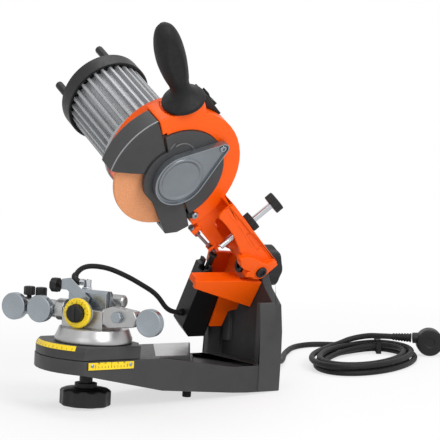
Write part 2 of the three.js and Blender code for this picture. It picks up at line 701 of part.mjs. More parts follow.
const jawOutline = ([y0, y1], [z0, z1], side) => {
  const c = vise.jawChamfer;
  return side < 0
    ? [[y0, z0], [y1, z0], [y1, z1], [y0 + c, z1], [y0, z1 - c]]
    : [[y0, z0], [y1, z0], [y1, z1 - c], [y1 - c, z1], [y0, z1]];
};
const fixedJaw = cut(slabX(jawOutline(vise.fixedY, vise.fixedZ, -1), vise.jawX), stopHole);
add(viseGroup, 'fixed_jaw', fixedJaw, steel);
add(viseGroup, 'moving_jaw', slabX(jawOutline(vise.movingY, vise.movingZ, 1), vise.jawX), steel);
const ring = vise.dialRing;
const ringProfile = [
  [ring.inner, ring.y[0]], [ring.outer - ring.chamfer, ring.y[0]], [ring.outer, ring.y[0] + ring.chamfer],
  [ring.outer, ring.y[1]], [ring.inner, ring.y[1]], [ring.inner, ring.y[0]],
];
add(viseGroup, 'angle_dial', turned('y', ringProfile, ring.steps, vise.dial), yellow);
const dk = vise.dialKnob;
const dialKnobProfile = [
  [0, dk.y[0] + dk.grip], [dk.nose, dk.y[0] + dk.grip], [dk.radius, dk.y[0] + dk.grip + dk.grip],
  [dk.radius, dk.y[1]], [dk.stem, dk.y[1]], [dk.stem, vise.blockY[0] - gap], [0, vise.blockY[0] - gap],
];
const dialBar = block([vise.dial[0] - dk.bar, vise.dial[0] + dk.bar], [dk.y[0], dk.y[0] + dk.bar],
  [vise.dial[1] - dk.nose, vise.dial[1] + dk.nose]);
add(viseGroup, 'dial_knob', join(turned('y', dialKnobProfile, dk.steps, vise.dial), dialBar), black);

// Roller arms on both sides of the vise.
const lt = vise.leftTube;
const tubeKnobHoles = vise.armKnobs.map((x) =>
  bar('z', vise.armKnob.stem + gap, [vise.armKnob.stemZ - gap, vise.armKnob.z[1]], vise.fitting.steps,
    [x, lt.y]));
const axleHole = ([x, z], y) =>
  bar('y', vise.axle.radius + gap, [vise.roller.y[0], y], vise.fitting.steps, [x, z]);
const leftSolid = turned('x', [
  [0, lt.x[0]], [lt.radius - lt.chamfer, lt.x[0]], [lt.radius, lt.x[0] + lt.chamfer],
  [lt.radius, lt.x[1]], [0, lt.x[1]],
], lt.steps, [lt.y, lt.z]);
const leftAxles = vise.rollers.slice(0, vise.armKnobs.length).map((at) => axleHole(at, lt.y));
const leftTube = cut(leftSolid, ...tubeKnobHoles, ...leftAxles);
add(viseGroup, 'left_arm_tube', leftTube, alloy);
const rt = vise.rightTube;
const rightSolid = turned('x', [
  [0, rt.x[0]], [rt.radius, rt.x[0]], [rt.radius, rt.x[1] - rt.chamfer],
  [rt.radius - rt.chamfer, rt.x[1]], [0, rt.x[1]],
], rt.steps, [rt.y, rt.z]);
add(viseGroup, 'right_arm_tube', cut(rightSolid, axleHole(vise.rollers[2], lt.y)), alloy);
const wheelNames = ['roller_outer', 'roller_inner', 'roller_right'];
vise.rollers.forEach(([x, z], i) => {
  const rl = vise.roller;
  const profile = [
    [0, rl.y[0]], [rl.radius - rl.chamfer, rl.y[0]], [rl.radius, rl.y[0] + rl.chamfer],
    [rl.radius, rl.y[1]], [vise.axle.radius, rl.y[1]], [vise.axle.radius, vise.axle.end],
    [0, vise.axle.end],
  ];
  add(viseGroup, wheelNames[i], turned('y', profile, rl.steps, [x, z]), steel);
});
const ak = vise.armKnob;
vise.armKnobs.forEach((x, i) => {
  const grip = slab(lobed(ak.radius, ak.lobes, ak.dent, ak.steps, [x, lt.y]), ak.z);
  const stem = bar('z', ak.stem, [ak.stemZ, ak.z[1] - ak.dent], ak.steps, [x, lt.y]);
  add(viseGroup, i ? 'arm_lock_knob_inner' : 'arm_lock_knob_outer', join(grip, stem), black);
});
const bolt = vise.bolt;
const boltShank = bar('y', bolt.radius, [bolt.y[0] + gap, vise.earY[1] + bolt.tail], ak.steps,
  [bolt.x, bolt.z]);
const boltHead = slabY(circle(bolt.head, bolt.sides, [bolt.x, bolt.z]), bolt.y);
add(viseGroup, 'ear_bolt', join(boltShank, boltHead), steel);
const stopPlate = slabY(vise.stop, vise.stopY);
const stopPin = bar('y', vise.stopPin.radius, vise.stopPin.y, ak.steps, vise.stopPivot);
add(viseGroup, 'chain_stop_arm', join(stopPlate, stopPin), steel);
const sk = vise.stopKnob;
const stopGrip = slabX(lobed(sk.radius, sk.lobes, sk.dent, sk.steps, [sk.y, sk.z]), sk.x);
const stopStem = bar('x', sk.stem, [sk.x[0] + sk.dent, sk.stemX], sk.steps, [sk.y, sk.z]);
add(viseGroup, 'chain_stop_knob', join(stopGrip, stopStem), black);
const sv = vise.slave;
const slaveProfile = [
  [0, sv.x[0]], [sv.radius, sv.x[0]], [sv.radius, sv.x[1]], [sv.cap, sv.x[1] + sv.step],
  [0, sv.x[1] + sv.step],
];
add(viseGroup, 'slave_cylinder', turned('x', slaveProfile, sv.steps, [sv.y, sv.z]), alloy);
const ft = vise.fitting;
const fittingPost = bar('z', ft.radius, ft.z, ft.steps, [ft.x, ft.y]);
const fittingHex = slab(circle(ft.hex, ft.sides, [ft.x, ft.y]), [ft.z[0], ft.hexZ]);
const fittingArm = bar('x', ft.arm, [ft.armX, ft.x], ft.steps, [ft.y, ft.armZ]);
add(viseGroup, 'hose_fitting', join(fittingPost, fittingHex, fittingArm), chrome);

// Tilting head: bracket, hinge pin, spring, pump and the bolt and knob that lock the tilt.
const plateNear = slabX(head.plate, head.plateX);
const plateFar = slabX(head.farPlate, [-head.plateX[1], -head.plateX[0]]);
const flangeNear = block(head.flangeX, head.flangeY, head.flangeZ);
const frontLip = block(head.frontX, head.frontY, [head.lipZ, head.flangeZ[1]]);
const rearWeb = slabY(head.web, head.webY);
const barrel = bar('x', head.barrel.radius, head.barrel.x, head.barrel.steps,
  [stance.pinY, stance.pinHeight]);
const rearDisc = bar('y', head.hub, head.webY, pin.steps, [0, 0]);
const tab = slabX(head.tab, head.tabX);
const pinBore = bar('x', head.barrel.bore, [-head.barrel.reach, head.barrel.reach], head.barrel.steps,
  [stance.pinY, stance.pinHeight]);
const springSlot = bar('x', head.springSlot.radius, head.springSlot.x, head.barrel.steps,
  [stance.pinY, stance.pinHeight]);
const boltBore = bar('y', head.boltBore, [head.webY[0] - gap, head.webY[1] + gap], pin.steps, [0, 0]);
const boltSeat = bar('y', head.boltSeat.radius, head.boltSeat.y, pin.steps, [0, 0]);
const bracket = cut(
  join(plateNear, plateFar, flangeNear, frontLip, rearWeb, barrel, rearDisc, tab),
  pinBore, springSlot, boltSeat, boltBore);
add(headGroup, 'tilt_bracket', bracket, orange);
const pinProfile = [
  [0, pin.clipX], [pin.clip, pin.clipX], [pin.clip, pin.x[0]], [pin.radius, pin.x[0]],
  [pin.radius, pin.x[1]], [pin.head, pin.x[1]], [pin.head, pin.headX], [0, pin.headX],
];
add(headGroup, 'hinge_pin', turned('x', pinProfile, pin.steps, [stance.pinY, stance.pinHeight]), blackSteel);
const springPoints = Array.from({ length: spring.turns * spring.steps + 1 }, (_, i) => {
  const turn = (full * i) / spring.steps;
  const along = spring.x[0] + ((spring.x[1] - spring.x[0]) * i) / (spring.turns * spring.steps);
  return new THREE.Vector3(along, stance.pinY + spring.coil * Math.cos(turn),
    stance.pinHeight + spring.coil * Math.sin(turn));
});
add(headGroup, 'return_spring', sweep(springPoints, spring.wire, spring.sides), steel);
const [c0, c1] = pump.coverX;
const w = pump.coverWall;
const coverSolid = slabX(pump.cover, pump.coverX);
const coverCave = block([c0 + w, c1 - w], pump.caveY, pump.caveZ);
const coverNeck = bar('z', pump.neck, pump.neckZ, pump.cylinder.steps, [pump.cylinder.x, pump.cylinder.y]);
const coverPort = bar('y', pump.portHole, [pump.cylinder.portY, pump.caveY[0] + gap], pump.cylinder.steps,
  [pump.cylinder.x, pump.cylinder.portZ]);
const coverNotch = block(pump.notchX, pump.notchY, pump.notchZ);
add(headGroup, 'pump_cover', cut(coverSolid, coverCave, coverNeck, coverPort, coverNotch), black);
const pc = pump.cylinder;
const cylinderProfile = [
  [0, pc.z[0]], [pc.radius, pc.z[0]], [pc.radius, pc.z[1]], [pc.neck, pc.z[1] + pc.step],
  [pc.neck, pc.neckZ], [pc.bore, pc.neckZ], [pc.bore, pc.floor], [0, pc.floor],
];
const cylinderBody = turned('z', cylinderProfile, pc.steps, [pc.x, pc.y]);
const cylinderPort = bar('y', pc.port, [pc.portY, pc.y], pc.steps, [pc.x, pc.portZ]);
add(headGroup, 'pump_cylinder', join(cylinderBody, cylinderPort), alloy);
const pp = pump.piston;
const pistonProfile = [
  [0, pp.z[0]], [pp.radius, pp.z[0]], [pp.radius, pp.buttonZ[0]], [pp.button, pp.buttonZ[0]],
  [pp.button, pp.buttonZ[1] - pp.round], [pp.radius, pp.buttonZ[1]], [0, pp.buttonZ[1]],
];
add(headGroup, 'pump_piston', turned('z', pistonProfile, pp.steps, [pc.x, pc.y]), blackSteel);
const tb = tiltBolt;
const boltProfile = [
  [0, tb.socketY], [tb.socket, tb.socketY], [tb.socket, tb.y[0]], [tb.head, tb.y[0]], [tb.head, tb.y[1]],
  [tb.radius, tb.y[1]], [tb.radius, tb.end], [0, tb.end],
];
add(headGroup, 'tilt_bolt', turned('y', boltProfile, tb.steps), blackSteel);
const tk = tiltKnob;
const tiltGrip = slabY(lobed(tk.radius, tk.lobes, tk.dent, tk.steps), [tk.y[0], tk.y[1] - tk.crown]);
const tiltCrown = turned('y', [
  [0, tk.y[0] + tk.crown], [tk.radius - tk.dent - tk.crown, tk.y[0] + tk.crown],
  [tk.radius - tk.dent - tk.crown, tk.y[1]], [0, tk.y[1]],
], tk.steps);
const tiltBore = bar('y', tk.bore, [tk.y[0] - gap, tk.boreEnd], tb.steps, [0, 0]);
add(headGroup, 'tilt_lock_knob', cut(join(tiltGrip, tiltCrown), tiltBore), black);

// Arm casting: channel arm with its hinge cheeks and the ring housing round the wheel.
const toRing = (points) => points.map(([a, n]) => [stance.armLength - a, n]);
const fromRing = (points) => points.map(([a, n]) => [a + armEnd, n]);
const tp = arm.top;
const topSlope = Math.atan2(tp.high - tp.low, armEnd - tp.tail);
const topOutline = [
  [tp.tail, tp.low], [armEnd, tp.high], [armEnd, tp.high - tp.thick], [tp.tail, tp.low - tp.tailThick],
];
const skirtOutline = [
  ...arm.skirt, ...fromRing(arm.skirtNose), [armEnd, tp.high - gap], [tp.tail, tp.low - gap],
];
const strapOutline = [...arm.strap, ...fromRing(arm.strapNose), ...arm.strapTop];
const webOutline = [...arm.web, ...fromRing(arm.webNose)];
const armTop = slabX(toRing(topOutline), [-arm.topX, arm.topX]);
const skirtNear = slabX(toRing(skirtOutline), arm.skirtX);
const skirtFar = slabX(toRing(skirtOutline), [-arm.skirtX[1], -arm.skirtX[0]]);
const strapNear = slabX(toRing(strapOutline), arm.strapX);
const strapFar = slabX(toRing(strapOutline), [-arm.strapX[1], -arm.strapX[0]]);
const web = slabX(toRing(webOutline), arm.webX);
const cheekNear = slabX(toRing(arm.cheek), arm.cheekX);
const cheekFar = slabX(toRing(arm.cheek), [-arm.cheekX[1], -arm.cheekX[0]]);
const pinAt = [stance.armLength, 0];
const hubNear = bar('x', arm.hub, arm.cheekX, arm.hubSteps, pinAt);
const hubFar = bar('x', arm.hub, [-arm.cheekX[1], -arm.cheekX[0]], arm.hubSteps, pinAt);
const hubBore = bar('x', arm.bore, [-arm.cheekReach, arm.cheekReach], arm.hubSteps, pinAt);
const armPanel = slabX(toRing(arm.panel), arm.panelX);
const onDepth = (geometry) => geometry.rotateX(-topSlope).translate(depth.x, stance.armLength - depth.a, 0);
const topAt = tp.low + Math.tan(topSlope) * (depth.a - tp.tail);
const topHeight = topAt * Math.cos(topSlope);
const screwSpan = [topHeight - tp.thick - tp.thick, topHeight + gap];
const screwBore = onDepth(bar('z', arm.screwBore, screwSpan, arm.hubSteps));
const rodAlong = ([a0, a1]) => [stance.armLength - a1, stance.armLength - a0];
const rodLugs = rod.lugs.map((span) => block(rod.lugX, rodAlong(span), rod.lugN));
const lugBore = bar('y', rod.bore, rodAlong(rod.a), rod.steps, [rod.x, rod.n]);
const cup = arm.cup;
const cupOuter = wheel.radius + wheelRoom.ring;
const cupSolid = bar('x', cupOuter, cup.x, cup.steps, cup.centre);
const cupInner = cupOuter - cup.wall;
const cupCave = bar('x', cupInner, [cup.x[0] + cup.back, cup.x[1] - cup.face], cup.steps, cup.centre);
const openingSpan = [cup.x[1] - cup.face - gap, cup.x[1] + gap];
const cupOpening = bar('x', sideCover.radius + cup.play, openingSpan, cup.steps, cup.centre);
const wedge = (from, to, radius) => {
  const count = arm.wedgeSteps;
  const rim = Array.from({ length: count + 1 }, (_, i) => polar(radius, from + ((to - from) * i) / count));
  return [[0, 0], ...rim];
};
const hoodCut = slabX(wedge(arm.hoodCut[0], arm.hoodCut[1], overrun), arm.cutX);
const lowCut = slabX(wedge(arm.lowCut[0], arm.lowCut[1], overrun), arm.cutX);
const collar = bar('x', arm.collar.radius, arm.collar.x, cup.steps, arm.collar.centre);
const neck = bar('x', arm.neck.radius, arm.neck.x, cup.steps, [0, 0]);
const shaftBore = bar('x', arm.shaftBore, arm.shaftBoreX, arm.hubSteps, [0, 0]);
const bossTurn = new THREE.Matrix4().makeRotationX(rad(arm.boss.turn) - Math.PI * half);
const onBoss = (geometry) =>
  geometry.applyMatrix4(bossTurn).translate(arm.boss.x, arm.boss.foot[0], arm.boss.foot[1]);
const bossSolid = onBoss(bar('z', arm.boss.radius, arm.boss.span, arm.boss.steps));
const handleRoom = onBoss(bar('z', arm.boss.clear, arm.boss.clearSpan, arm.boss.steps));
const boxSpan = [arm.boss.span[0], arm.boss.clearSpan[1]];
const boxRoom = onBoss(bar('z', arm.boss.boxClear, boxSpan, arm.boss.steps));
const bossClip = block(arm.boss.clipX, arm.boss.clipY, arm.boss.clipZ);
const shellRing = cut(join(cupSolid, armTop, web, ...rodLugs), cupCave, cupOpening, lugBore);
const sides = [skirtNear, skirtFar, strapNear, strapFar, cheekNear, cheekFar, hubNear, hubFar];
const wheelArm = join(shellRing, ...sides);
const openArm = cut(wheelArm, hoodCut, lowCut, hubBore, armPanel, screwBore);
const innerKeep = bar('x', cupInner, [cup.x[0] + cup.back, cup.x[1] + gap], cup.steps, cup.centre);
const bossPart = cut(cross(bossSolid, bossClip), innerKeep, hoodCut);
const armCasting = cut(join(openArm, collar, neck, bossPart), shaftBore, handleRoom);
add(wheelGroup, 'arm_casting', armCasting, orange);

// Covers round the wheel.
const coverDisc = bar('x', sideCover.radius, sideCover.x, sideCover.steps, cup.centre);
const coverWedge = slabX(wedge(sideCover.from, sideCover.to, overrun), sideCover.x);
const coverHub = bar('x', sideCover.hub, sideCover.x, sideCover.steps, [0, 0]);
const coverBore = bar('x', sideCover.bore, arm.cutX, sideCover.steps, [0, 0]);
add(wheelGroup, 'side_cover', cut(join(cross(coverDisc, coverWedge), coverHub), coverBore), hoodGrey);
const g = guard;
const hoodInner = wheel.radius + wheelRoom.hood;
const hoodSolid = slabX(wedge(g.from, g.to, hoodInner + g.wall), g.x);
const hoodCave = cross(
  bar('x', hoodInner, [g.x[0] + g.plate, g.x[1] - g.plate], cup.steps, [0, 0]),
  slabX(wedge(g.from - g.margin, g.to + g.margin, overrun), g.x),
);
const hoodHub = bar('x', g.hubRadius, arm.cutX, cup.steps, [0, 0]);
add(wheelGroup, 'guard_hood', cut(hoodSolid, hoodCave, hoodHub, handleRoom), hoodGrey);
const lowerSolid = slabX(lower.outline, lower.x);
const lowerSlot = bar('x', wheel.radius + wheelRoom.slot, lower.slotX, cup.steps, [0, 0]);
add(wheelGroup, 'lower_guard', cut(lowerSolid, lowerSlot), hoodGrey);
const nc = nutCover;
const pearTip = polar(sideCover.radius - nc.tipInset, nc.tipTurn);
const pearRim = slabX(pearOutline(nc.centre, nc.radius, pearTip, nc.tipRadius, nc.steps), [nc.x[0], nc.rimX]);
const dipOutline = pearOutline(nc.centre, nc.radius - nc.rim, pearTip, nc.tipRadius - nc.tipRim, nc.steps);
const pearDip = slabX(dipOutline, [nc.x[1], nc.reach]);
const pearDome = bar('x', nc.domeRadius, [nc.caveX, nc.domeX], nc.steps, [0, 0]);
const pearCave = bar('x', nc.cave, [nc.x[0] - gap, nc.caveX], nc.steps, [0, 0]);
const tipHole = bar('x', nc.tipHole, [nc.x[0] - gap, nc.reach], screwTop.steps, pearTip);
add(wheelGroup, 'nut_cover', cut(join(cut(pearRim, pearDip), pearDome), pearCave, tipHole), alloy);
const topHead = bar('x', screwTop.radius, screwTop.x, screwTop.steps, pearTip);
const topShank = bar('x', screwTop.shank, [screwTop.shankX, mid(screwTop.x)], screwTop.steps, pearTip);
add(wheelGroup, 'cover_screw_top', join(topHead, topShank), steel);
const sideOff = polar(sideCover.radius + screwSide.outset, screwSide.turn);
const sideAt = [cup.centre[0] + sideOff[0], cup.centre[1] + sideOff[1]];
add(wheelGroup, 'cover_screw_side', bar('x', screwSide.radius, screwSide.x, screwSide.steps, sideAt), steel);

// Motor housing with its fins, end cap with feet, and stator.
const ribTurn = full / motor.ribs;
const finOutline = Array.from({ length: motor.ribs }, (_, i) => {
  const turn = ribTurn * i;
  const [wide, slim] = motor.ribHalf;
  const foot = wide / motor.core;
  const tip = slim / motor.ribTip;
  const at = (radius, angle) => [radius * Math.cos(angle), radius * Math.sin(angle)];
  return [at(motor.core, turn - foot), at(motor.ribTip, turn - tip), at(motor.ribTip, turn + tip),
    at(motor.core, turn + foot)];
}).flat();
const fins = slabX(finOutline, motor.ribX);
const motorFlange = bar('x', motor.flange.radius, motor.flange.x, motor.steps, [0, 0]);
const motorCave = bar('x', motor.inner, [motor.x[0] - gap, motor.plateX], motor.steps, [0, 0]);
const motorBore = bar('x', motor.shaftBore, [motor.plateX - gap, motor.x[1] + gap], motor.steps, [0, 0]);
add(wheelGroup, 'motor_housing', cut(join(fins, motorFlange), motorCave, motorBore), alloy);
const capProfile = [
  [0, cap.x[0]], [cap.shoulder, cap.x[0]], [cap.radius, cap.shoulderX], [cap.radius, cap.x[1]],
  [0, cap.x[1]],
];
const capSolid = turned('x', capProfile, cap.steps);
const capCave = bar('x', cap.lip, [cap.caveX, cap.x[1] + gap], cap.steps, [0, 0]);
const capBoss = bar('x', cap.bossRadius, [cap.caveX - gap, cap.bossX], cap.postSteps + cap.postSteps, [0, 0]);
const capBearing = bar('x', cap.bearing, [cap.bearingX, cap.x[1]], cap.postSteps + cap.postSteps, [0, 0]);
const posts = Array.from({ length: cap.posts }, (_, i) => {
  const [y, z] = polar(cap.postRadius, cap.postTurn + (i * motor.wholeTurn) / cap.posts);
  return bar('x', cap.post, [cap.postX, cap.caveX - gap], cap.postSteps, [y, z]);
});
add(wheelGroup, 'motor_end_cap', cut(join(cut(capSolid, capCave), capBoss, ...posts), capBearing), black);
const statorRing = tubeBar('x', stator.outer, stator.inner, stator.x, stator.steps, [0, 0]);
add(wheelGroup, 'motor_stator', statorRing, copper);

// Handle, switch box and rocker.
const handleTop = handle.profile[handle.profile.length - 1][1];
const handlePanel = block([handle.panelX, overrun], [-overrun, overrun], [arm.boss.radius, handleTop]);
add(wheelGroup, 'handle', onBoss(cut(turned('z', handle.profile, handle.steps), handlePanel)), rubber);
const boxSolid = slabX(box.outline, box.x);
const cupRoom = bar('x', cupOuter + box.clear, [cup.x[0] - box.clear, cup.x[1]], cup.steps, cup.centre);
const collarRoom = bar('x', arm.collar.radius + box.clear, arm.collar.x, cup.steps, arm.collar.centre);
const rockerRoom = slabX(box.seat, box.seatX);
add(wheelGroup, 'switch_box', cut(boxSolid, cupRoom, collarRoom, boxRoom, rockerRoom), black);
const rockerPost = bar('x', rocker.radius, rocker.x, handle.steps, rocker.pivot);
add(wheelGroup, 'rocker_switch', join(slabX(rocker.outline, rocker.x), rockerPost), rubber);

// Depth screw with its knob and nut, and the push rod that works the pump.
const dp = depth;
const screwProfile = [
  [0, dp.low], [dp.tip, dp.low], [dp.radius, dp.low + dp.radius - dp.tip], [dp.radius, dp.high], [0, dp.high],
];
const grip = (part, [h0, h1]) => slab(lobed(part.radius, part.lobes, part.dent, dp.steps), [h0, h1]);
const knobBore = bar('z', dp.knob.bore, [dp.knob.h[0] - gap, dp.knob.boreEnd], dp.screwSteps);
const nutSpan = [topHeight + gap, topHeight + gap + dp.nut.thick];
const nutHole = bar('z', dp.nut.bore, [topHeight, nutSpan[1] + gap], dp.screwSteps);
const depthGroup = new THREE.Group();
depthGroup.name = 'depth_stop';
depthGroup.rotation.x = -topSlope;
depthGroup.position.set(dp.x, stance.armLength - dp.a, 0);
wheelGroup.add(depthGroup);
add(depthGroup, 'depth_screw', turned('z', screwProfile, dp.screwSteps), steel);
add(depthGroup, 'depth_knob', cut(grip(dp.knob, dp.knob.h), knobBore), black);
add(depthGroup, 'lock_nut', cut(grip(dp.nut, nutSpan), nutHole), black);
const rodAt = [rod.x, rod.n];
const rodBar = bar('y', rod.radius, rodAlong(rod.a), rod.steps, rodAt);
const rodHead = bar('y', rod.head, rodAlong([rod.a[1] - gap, rod.headA]), rod.steps, rodAt);
const rodNut = slabY(circle(rod.nut, rod.sides, rodAt), rodAlong(rod.nutA));
add(wheelGroup, 'push_rod', join(rodBar, rodHead, rodNut), steel);

// Spindle: rotor, wheel and flange nut turn together.
add(wheelGroup, 'rotor_shaft', turned('x', shaft.profile, shaft.steps), steel);
const wl = wheel;
const wheelProfile = [
  [wl.bore, -wl.halfWidth], [wl.radius - wl.edge, -wl.halfWidth], [wl.radius, wl.edge - wl.halfWidth],
  [wl.radius, wl.halfWidth - wl.edge], [wl.radius - wl.edge, wl.halfWidth], [wl.bore, wl.halfWidth],
  [wl.bore, -wl.halfWidth],
];
add(wheelGroup, 'grinding_wheel', turned('x', wheelProfile, wl.steps), stone);
const nutDisc = bar('x', flangeNut.radius, flangeNut.x, flangeNut.steps, [0, 0]);
const nutHex = slabX(circle(flangeNut.hex, flangeNut.sides), [flangeNut.x[0] + gap, flangeNut.hexX]);
const nutBore = bar('x', flangeNut.bore, [flangeNut.x[0] - gap, flangeNut.boreX], flangeNut.steps, [0, 0]);
add(wheelGroup, 'flange_nut', cut(join(nutDisc, nutHex), nutBore), steel);

// Hydraulic hose on its real route from the vise to the pump.
root.updateMatrixWorld(true);
const toMachine = new THREE.Matrix4().copy(machine.matrixWorld).invert();
const inMachine = (group, p) => vec(p).applyMatrix4(group.matrixWorld).applyMatrix4(toMachine);
const hoseStart = inMachine(viseGroup, [ft.armX - hose.start, ft.y, ft.armZ]);
const hoseNext = inMachine(viseGroup, [ft.armX - hose.run, ft.y, ft.armZ]);
const hoseEnd = inMachine(headGroup, [pc.x, pc.portY - hose.start, pc.portZ]);
const hoseLast = inMachine(headGroup, [pc.x, pc.portY - hose.run, pc.portZ]);
const hoseCurve = route([hoseStart, hoseNext, ...hose.points.map(vec), hoseLast, hoseEnd]);
add(machine, 'hydraulic_hose', cordTube(hoseCurve, hose.radius, hose.sides, hose.spacing), rubber);

// Mains cord: gland on the tower, free stretch, hank, tie, lead, strain relief and plug.
const gl = cord.gland;
const glandFoot = stance.rearY + gap;
const glandSolid = turned('y', [
  [0, glandFoot], [gl.flange, glandFoot], [gl.flange, glandFoot + gl.lip], [gl.base, glandFoot + gl.lip],
  [gl.nose, stance.rearY + gl.reach], [0, stance.rearY + gl.reach],
], gl.steps, [gl.x, gl.z]);
add(machine, 'cord_gland', glandSolid, rubber);
const floorAcross = new THREE.Vector3(Math.cos(rad(cord.floorTurn)), Math.sin(rad(cord.floorTurn)), 0);
const floorAway = new THREE.Vector3(-floorAcross.y, floorAcross.x, 0);
const onFloor = ([across, away, z]) =>
  new THREE.Vector3(0, 0, z).addScaledVector(floorAcross, across).addScaledVector(floorAway, away);
const layerTurn = (cord.hankTurn - cord.hankClimb) * half;
const whole = motor.wholeTurn;
const hankPoint = (turn) => {
  const inward = Math.min(turn, cord.hankTurn - turn, layerTurn) / whole;
  const climb = THREE.MathUtils.smoothstep(turn, layerTurn, layerTurn + cord.hankClimb);
  const phi = rad(cord.hankStart - turn);
  const offTie = Math.acos(Math.cos(phi - rad(cord.tieAt)));
  const nearTie = Math.min(offTie / rad(cord.tieReach), 1);
  const lift = cord.tieLift * (half + half * Math.cos(Math.PI * nearTie));
  const across = (cord.hankHalfWidth - cord.hankPitch[0] * inward) * Math.cos(phi);
  const away = (cord.hankHalfDepth - cord.hankPitch[1] * inward) * Math.sin(phi);
  return onFloor([
    cord.hankCentre[0] + across + cord.hankShear * away,
    cord.hankCentre[1] + away,
    cord.hankZ + cord.layerRise * climb + lift,
  ]);
};
const hankCount = Math.round(cord.hankTurn / cord.hankStep);
const hankLoops = Array.from({ length: hankCount + 1 }, (_, i) => hankPoint((cord.hankTurn * i) / hankCount));
const hankIn = hankLoops[1].clone().sub(hankLoops[0]).setZ(0).normalize();
const hankOut = hankLoops[hankCount].clone().sub(hankLoops[hankCount - 1]).normalize();
const hankPoints = [
  hankLoops[0].clone().addScaledVector(hankIn, -cord.endRun),
  ...hankLoops,
  hankLoops[hankCount].clone().addScaledVector(hankOut, cord.endRun),
];
const hankHead = hankPoints[0];
const hankTail = hankPoints[hankPoints.length - 1];
add(root, 'cord_hank', sweep(hankPoints, cord.radius, cord.hankSides), rubber);
const glandTip = machine.localToWorld(vec([gl.x, stance.rearY + gl.reach + gap, gl.z]));
const glandRun = machine.localToWorld(vec([gl.x, stance.rearY + gl.reach + cord.exitRun, gl.z]));
const freeEnd = hankHead.clone().addScaledVector(hankIn, -gap);
const freeLast = hankHead.clone().addScaledVector(hankIn, -cord.exitRun);
const freeCurve = route([glandTip, glandRun, ...cord.free.map(onFloor), freeLast, freeEnd]);
add(root, 'mains_cord', cordTube(freeCurve, cord.radius, cord.sides, cord.spacing), rubber);
const leadStart = hankTail.clone().addScaledVector(hankOut, gap);
const leadNext = hankTail.clone().addScaledVector(hankOut, cord.exitRun);
const reliefFrom = onFloor(cord.reliefFrom);
const reliefTo = onFloor(cord.reliefTo);
const reliefDir = reliefTo.clone().sub(reliefFrom).normalize();
const leadEnd = reliefFrom.clone().addScaledVector(reliefDir, -gap);
const leadLast = reliefFrom.clone().addScaledVector(reliefDir, -cord.exitRun);
const leadCurve = route([leadStart, leadNext, ...cord.lead.map(onFloor), leadLast, leadEnd]);
add(root, 'plug_lead', cordTube(leadCurve, cord.radius, cord.sides, cord.spacing * half), rubber);
const rf = cord.relief;
const reliefLength = reliefFrom.distanceTo(reliefTo) - gap;
const reliefRings = Array.from({ length: rf.ribs + rf.ribs + 1 }, (_, i) => {
  const part = i / (rf.ribs + rf.ribs);
  return [rf.nose + (rf.base - rf.nose) * part - (i % 2 ? rf.dip : 0), reliefLength * part];
});
const reliefTurn = new THREE.Matrix4().makeRotationFromQuaternion(
  new THREE.Quaternion().setFromUnitVectors(new THREE.Vector3(0, 0, 1), reliefDir));
const reliefSolid = turned('z', [[0, 0], ...reliefRings, [0, reliefLength]], rf.steps);
reliefSolid.applyMatrix4(reliefTurn).translate(...reliefFrom.toArray());
add(root, 'plug_strain_relief', reliefSolid, rubber);
const pl = cord.plug;
const plugTurn = new THREE.Matrix4().makeBasis(floorAcross, new THREE.Vector3(0, 0, 1),
  floorAway.clone().negate());
const plugZ = pl.radius + pl.lift;
const plugAt = onFloor([cord.plugAt[0], cord.plugAt[1], plugZ]);
const plugPuck = turned('z', [
  [0, -pl.halfDepth], [pl.radius, -pl.halfDepth], [pl.radius, pl.halfDepth - pl.edge],
  [pl.radius - pl.edge, pl.halfDepth], [0, pl.halfDepth],
], pl.steps);
const neckRise = cord.reliefTo[2] - plugZ;
const neckFrom = cord.reliefTo[0] - cord.plugAt[0] + pl.neckGap;
const plugNeck = turned('x', [
  [0, neckFrom], [pl.neck, neckFrom],
  [pl.neck, pl.neckEnd - cord.plugAt[0]], [0, pl.neckEnd - cord.plugAt[0]],
], pl.pinSteps, [neckRise, 0]);
const plugPins = [-1, 1].map((sign) =>
  bar('z', pl.pinRadius, [-pl.pinReach, 0], pl.pinSteps, [0, sign * pl.pinSpread]));
const plugSolid = join(plugPuck, plugNeck, ...plugPins).applyMatrix4(plugTurn);
add(root, 'mains_plug', plugSolid.translate(...plugAt.toArray()), black);

// Tie round the hank, and a check of the room the hank leaves to itself.
const tie = cord.tie;
const tieLoop = (grow) => {
  const [u0, u1] = [tie.away[0] - grow, tie.away[1] + grow];
  const [v0, v1] = [tie.z[0] - grow, tie.z[1] + grow];
  const c = tie.corner;
  return [[u0, v0], [u1, v0], [u1, v1 - c], [u1 - c, v1], [u0 + c, v1], [u0, v1 - c]];
};
const tieSolid = cut(
  slab(tieLoop(tie.wall), [-tie.halfWidth, tie.halfWidth]),
  slab(tieLoop(0), [-tie.halfWidth - gap, tie.halfWidth + gap]),
);
const tieTurn = new THREE.Matrix4().makeBasis(floorAway, new THREE.Vector3(0, 0, 1), floorAcross);
tieSolid.applyMatrix4(tieTurn).translate(...onFloor([tie.across, 0, 0]).toArray());
add(root, 'cord_tie', tieSolid, rubber);
let leastRoom = Infinity;
for (let i = 0; i <= cord.hankTurn; i += cord.checkStep) {
  for (let j = i + cord.checkFrom; j <= cord.hankTurn; j += cord.checkStep) {
    leastRoom = Math.min(leastRoom, hankPoint(i).distanceTo(hankPoint(j)) - cord.radius - cord.radius);
  }
}
const hankLength = runLength(hankPoints);
const freeLength = freeCurve.getLength();
const leadLength = leadCurve.getLength();
console.log(`hank gap ${leastRoom.toFixed(2)} mm, hank ${hankLength.toFixed(0)} mm`);
const hoseLength = hoseCurve.getLength();
console.log(`free ${freeLength.toFixed(0)} mm, lead ${leadLength.toFixed(0)} mm`);
console.log(`hose ${hoseLength.toFixed(0)} mm`);

